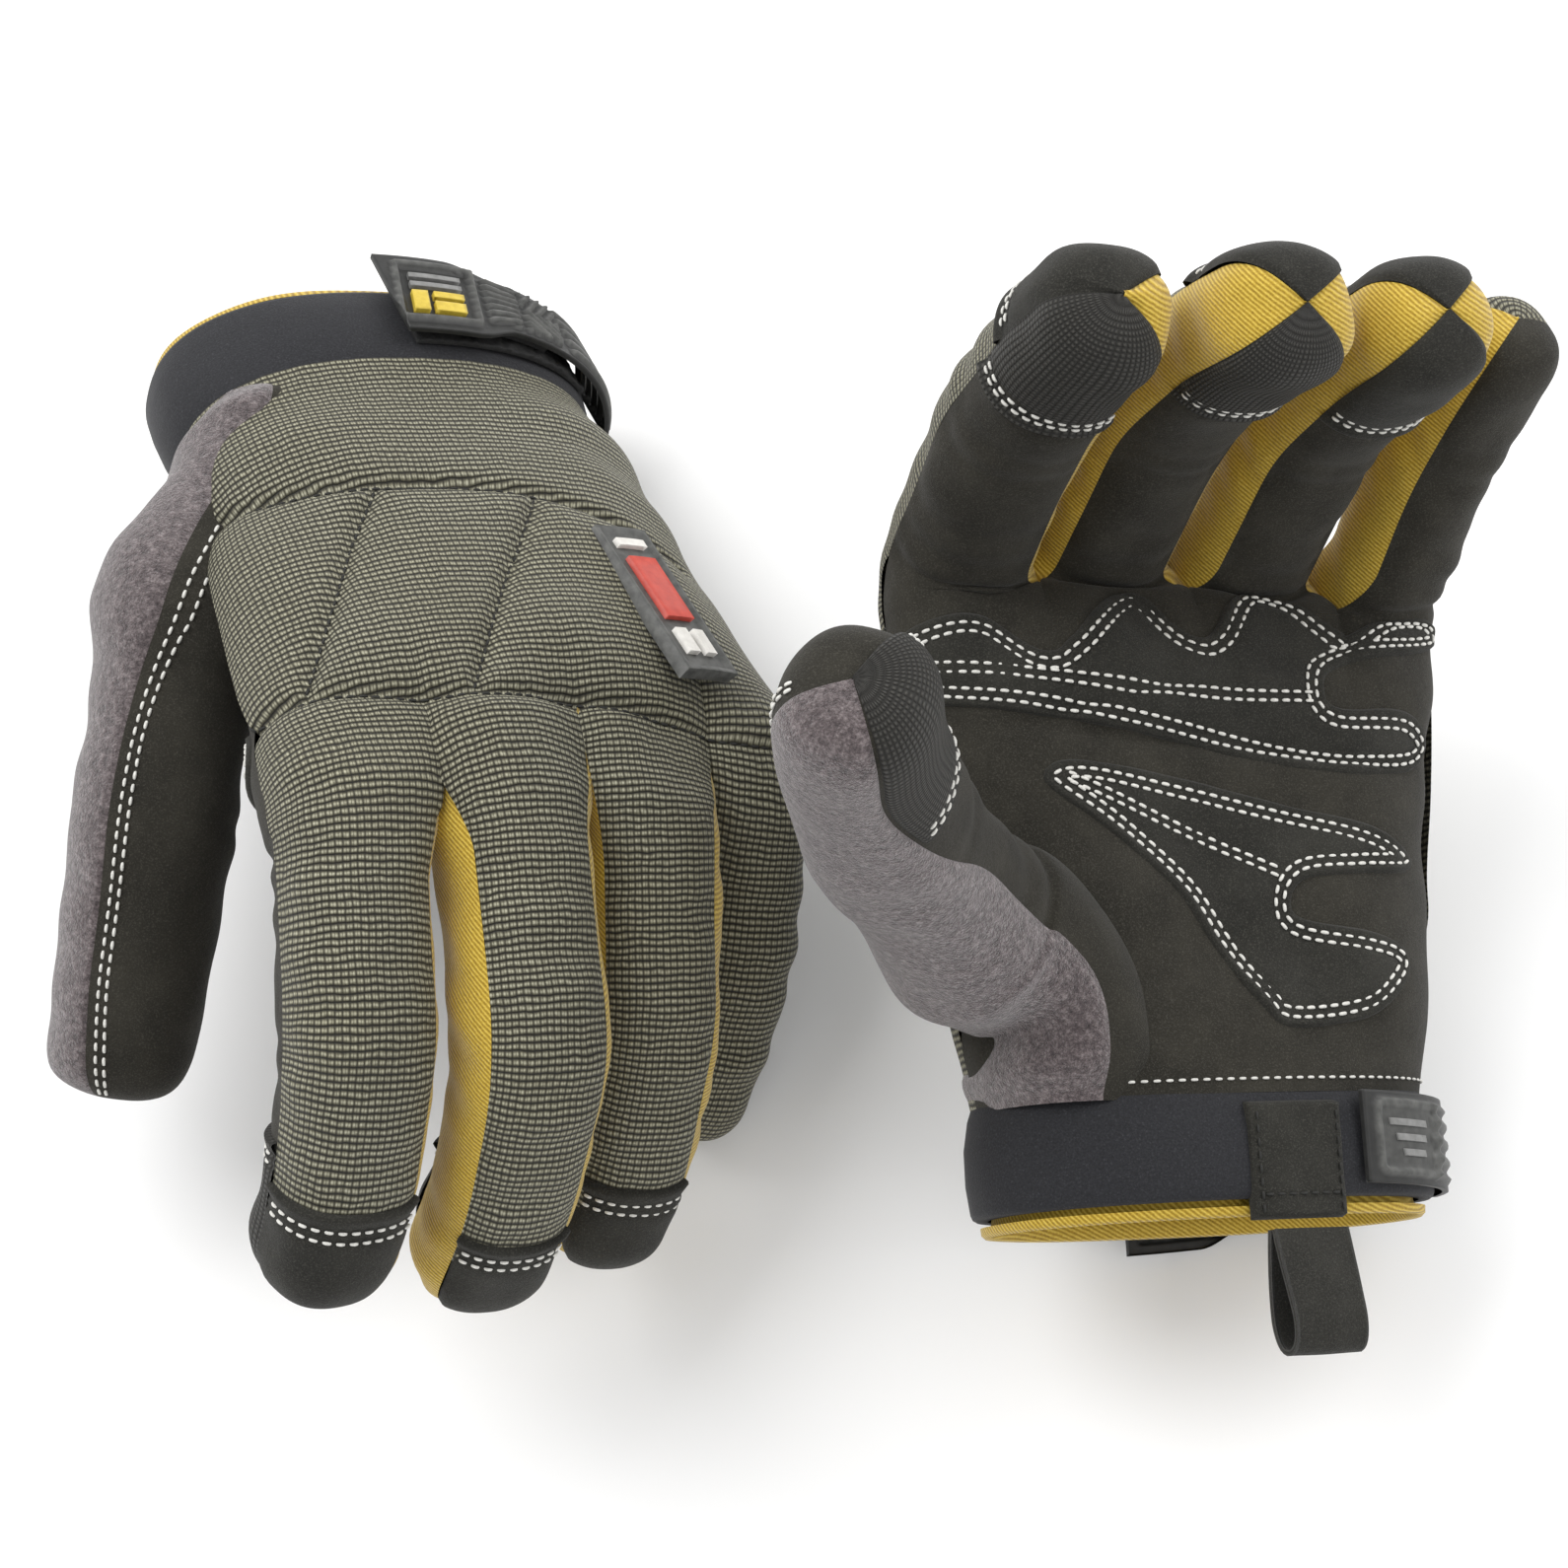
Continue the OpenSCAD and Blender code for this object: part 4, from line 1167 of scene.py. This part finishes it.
def palm_patch(glove, palm, name, outline, node):
    g = glove.g
    edge = dense(palm.flat(outline), 0.7, closed=True)
    loop = np.vstack([edge, edge[:1]])
    points = [edge]
    for gap in (0.35, 0.75, 1.3, 1.9, 2.6, 3.5, 4.2):
        q = inset(edge, gap)
        points.append(q[distance(q, loop) > gap - 0.12])
    lo, hi = edge.min(0), edge.max(0)
    gx, gy = np.meshgrid(np.arange(lo[0], hi[0], 1.5), np.arange(lo[1], hi[1], 1.5))
    q = np.stack([gx.ravel(), gy.ravel()], -1)
    points.append(q[distance(q, loop) > 5.0])
    flat = np.vstack(points)
    n = len(edge)
    rim = [(i, (i + 1) % n) for i in range(n)]
    co, _, faces, *_ = delaunay_2d_cdt([Vector(v) for v in flat], rim, [], 1, 1e-5)
    co = np.array([tuple(v) for v in co])
    d = distance(co, loop)
    seam = dense(palm.flat(INNER[name]), 0.8)
    near = distance(co, seam)
    h = patch_height(d) - 0.3 * bump(near, 0.8, 0.5) * step(3, 5, d)
    h += 0.25 * noise(np.column_stack([co, 0 * d]), 7, 2)
    p, _ = palm.lift(co, h)
    o = mesh(f"{g}_palm_{name}", p, [tuple(f) for f in faces], PATCH, g, side(g, "hand"))
    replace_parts(o, node)
    runs = []
    for gap in ROWS:
        q = inset(edge, gap)
        q = q[distance(q, loop) > gap - 0.1]
        runs.append(palm.lift(np.vstack([q, q[:1]]), np.full(len(q) + 1, 0.72)))
    for sgn in (-0.8, 0.8):
        runs.append(palm.lift(seam + [0, sgn], np.full(len(seam), 0.8)))
    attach(stitch_mesh(f"{g}_palm_{name}_thread", runs, THREAD, g), side(g, "hand"))


def back_threads(glove, back):
    """Dark sewn lines of the quilting and the pale row along the cuff seam."""
    g = glove.g
    runs = []
    n = normals(back).reshape(-1, 3)
    skin = back.reshape(-1, 3)
    for line in QUILT:
        at, nn = [], []
        for x, y in line:
            k = np.argmin((skin[:, 0] - x) ** 2 + (skin[:, 1] - y) ** 2 - 0.02 * skin[:, 2])
            at.append(skin[k] + n[k] * 0.1)
            nn.append(n[k])
        at = np.array(at)
        padded = np.pad(at, ((3, 3), (0, 0)), mode="edge")
        soft = np.stack([np.convolve(padded[:, c], np.ones(7) / 7, "valid") for c in range(3)], -1)
        runs.append((soft, np.array(nn)))
    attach(stitch_mesh(f"{g}_quilt_thread", runs, DARK_THREAD, g, 1.5, 0.6, 0.3), side(g, "hand"))
    t = np.linspace(188, 300, 260)
    run = lifted(hand, t, 2.4 + 0 * t, 0.25)
    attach(stitch_mesh(f"{g}_cuff_thread", [run], THREAD, g, 1.3, 0.9, 0.26), side(g, "hand"))


def camera_and_light():
    data = bpy.data.cameras.new("camera")
    camera = bpy.data.objects.new("camera", data)
    bpy.context.scene.collection.objects.link(camera)
    el, dist, aim = math.radians(CAM_EL), CAM_DIST, Vector(CAM_AIM)
    camera.location = aim + Vector((0, -math.cos(el), math.sin(el))) * dist
    camera.rotation_euler = (aim - camera.location).to_track_quat("-Z", "Y").to_euler()
    data.lens, data.sensor_width = CAM_LENS, 36
    data.clip_start = 0.01
    bpy.context.scene.camera = camera
    world = bpy.data.worlds.new("world")
    bpy.context.scene.world = world
    world.use_nodes = True
    world.node_tree.nodes["Background"].inputs["Color"].default_value = (1, 1, 1, 1)
    world.node_tree.nodes["Background"].inputs["Strength"].default_value = WORLD
    for name, at, size, energy in LIGHTS:
        light = bpy.data.lights.new(name, "AREA")
        light.shape, light.size, light.energy = "SQUARE", size, energy
        o = bpy.data.objects.new(name, light)
        o.location = at
        o.rotation_euler = (Vector((0, 0, 0.03)) - Vector(at)).to_track_quat("-Z", "Y").to_euler()
        bpy.context.scene.collection.objects.link(o)
    bpy.ops.mesh.primitive_plane_add(size=6, location=(0, 0, -0.0004))
    floor = bpy.context.object
    floor.name = "floor"
    floor.data.materials.append(FLOOR)
    bpy.context.scene.view_settings.view_transform = "Standard"


CAM_EL, CAM_DIST, CAM_LENS, CAM_AIM = 70.0, 0.53, 67.2, (-0.0019, -0.0006, 0.0485)
LIGHTS = [("key", (-0.7, 0.5, 1.0), 0.9, 13.0), ("fill", (0.9, -0.5, 0.9), 1.2, 4.0),
          ("rim", (0.9, 0.7, 0.6), 0.9, 6.0)]
WORLD = 0.75


def build(g):
    glove = Glove(g)
    made = skins(glove)
    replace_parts(made["back"][0], f"{g}_back_panel")
    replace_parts(made["palm"][0], f"{g}_palm_panel")
    for name in FINGERS:
        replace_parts(made["back" + name][0], f"{g}_{name}_stall")
    for key, o in walls(glove).items():
        if key.endswith("u"):
            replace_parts(o, f"{g}_{key[:-1]}_gusset")
    for name in ("index", "middle", "ring"):
        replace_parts(cap_piece(glove, name, True, PATCH), f"{g}_{name}_cap")
        grip = cap_piece(glove, name, False, PATCH if name == "ring" else GRIP)
        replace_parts(grip, f"{g}_{name}_grip")
    fleece, suede, grip = thumb(glove)
    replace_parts(fleece, f"{g}_thumb_fleece")
    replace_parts(suede, f"{g}_thumb_stall")
    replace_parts(grip, f"{g}_thumb_grip")
    cuff, sleeve = cuff_shape(glove)
    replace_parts(cuff, f"{g}_cuff")
    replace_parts(sleeve, f"{g}_lining")
    strap_set(glove)
    badge(glove)
    pull_loop(glove)
    palm = Palm(glove)
    palm_patch(glove, palm, "upper", UPPER, f"{g}_palm_pad_upper")
    palm_patch(glove, palm, "lower", LOWER, f"{g}_palm_pad_lower")
    back_threads(glove, made["back"][1])


for glove_name in "ab":
    build(glove_name)
camera_and_light()
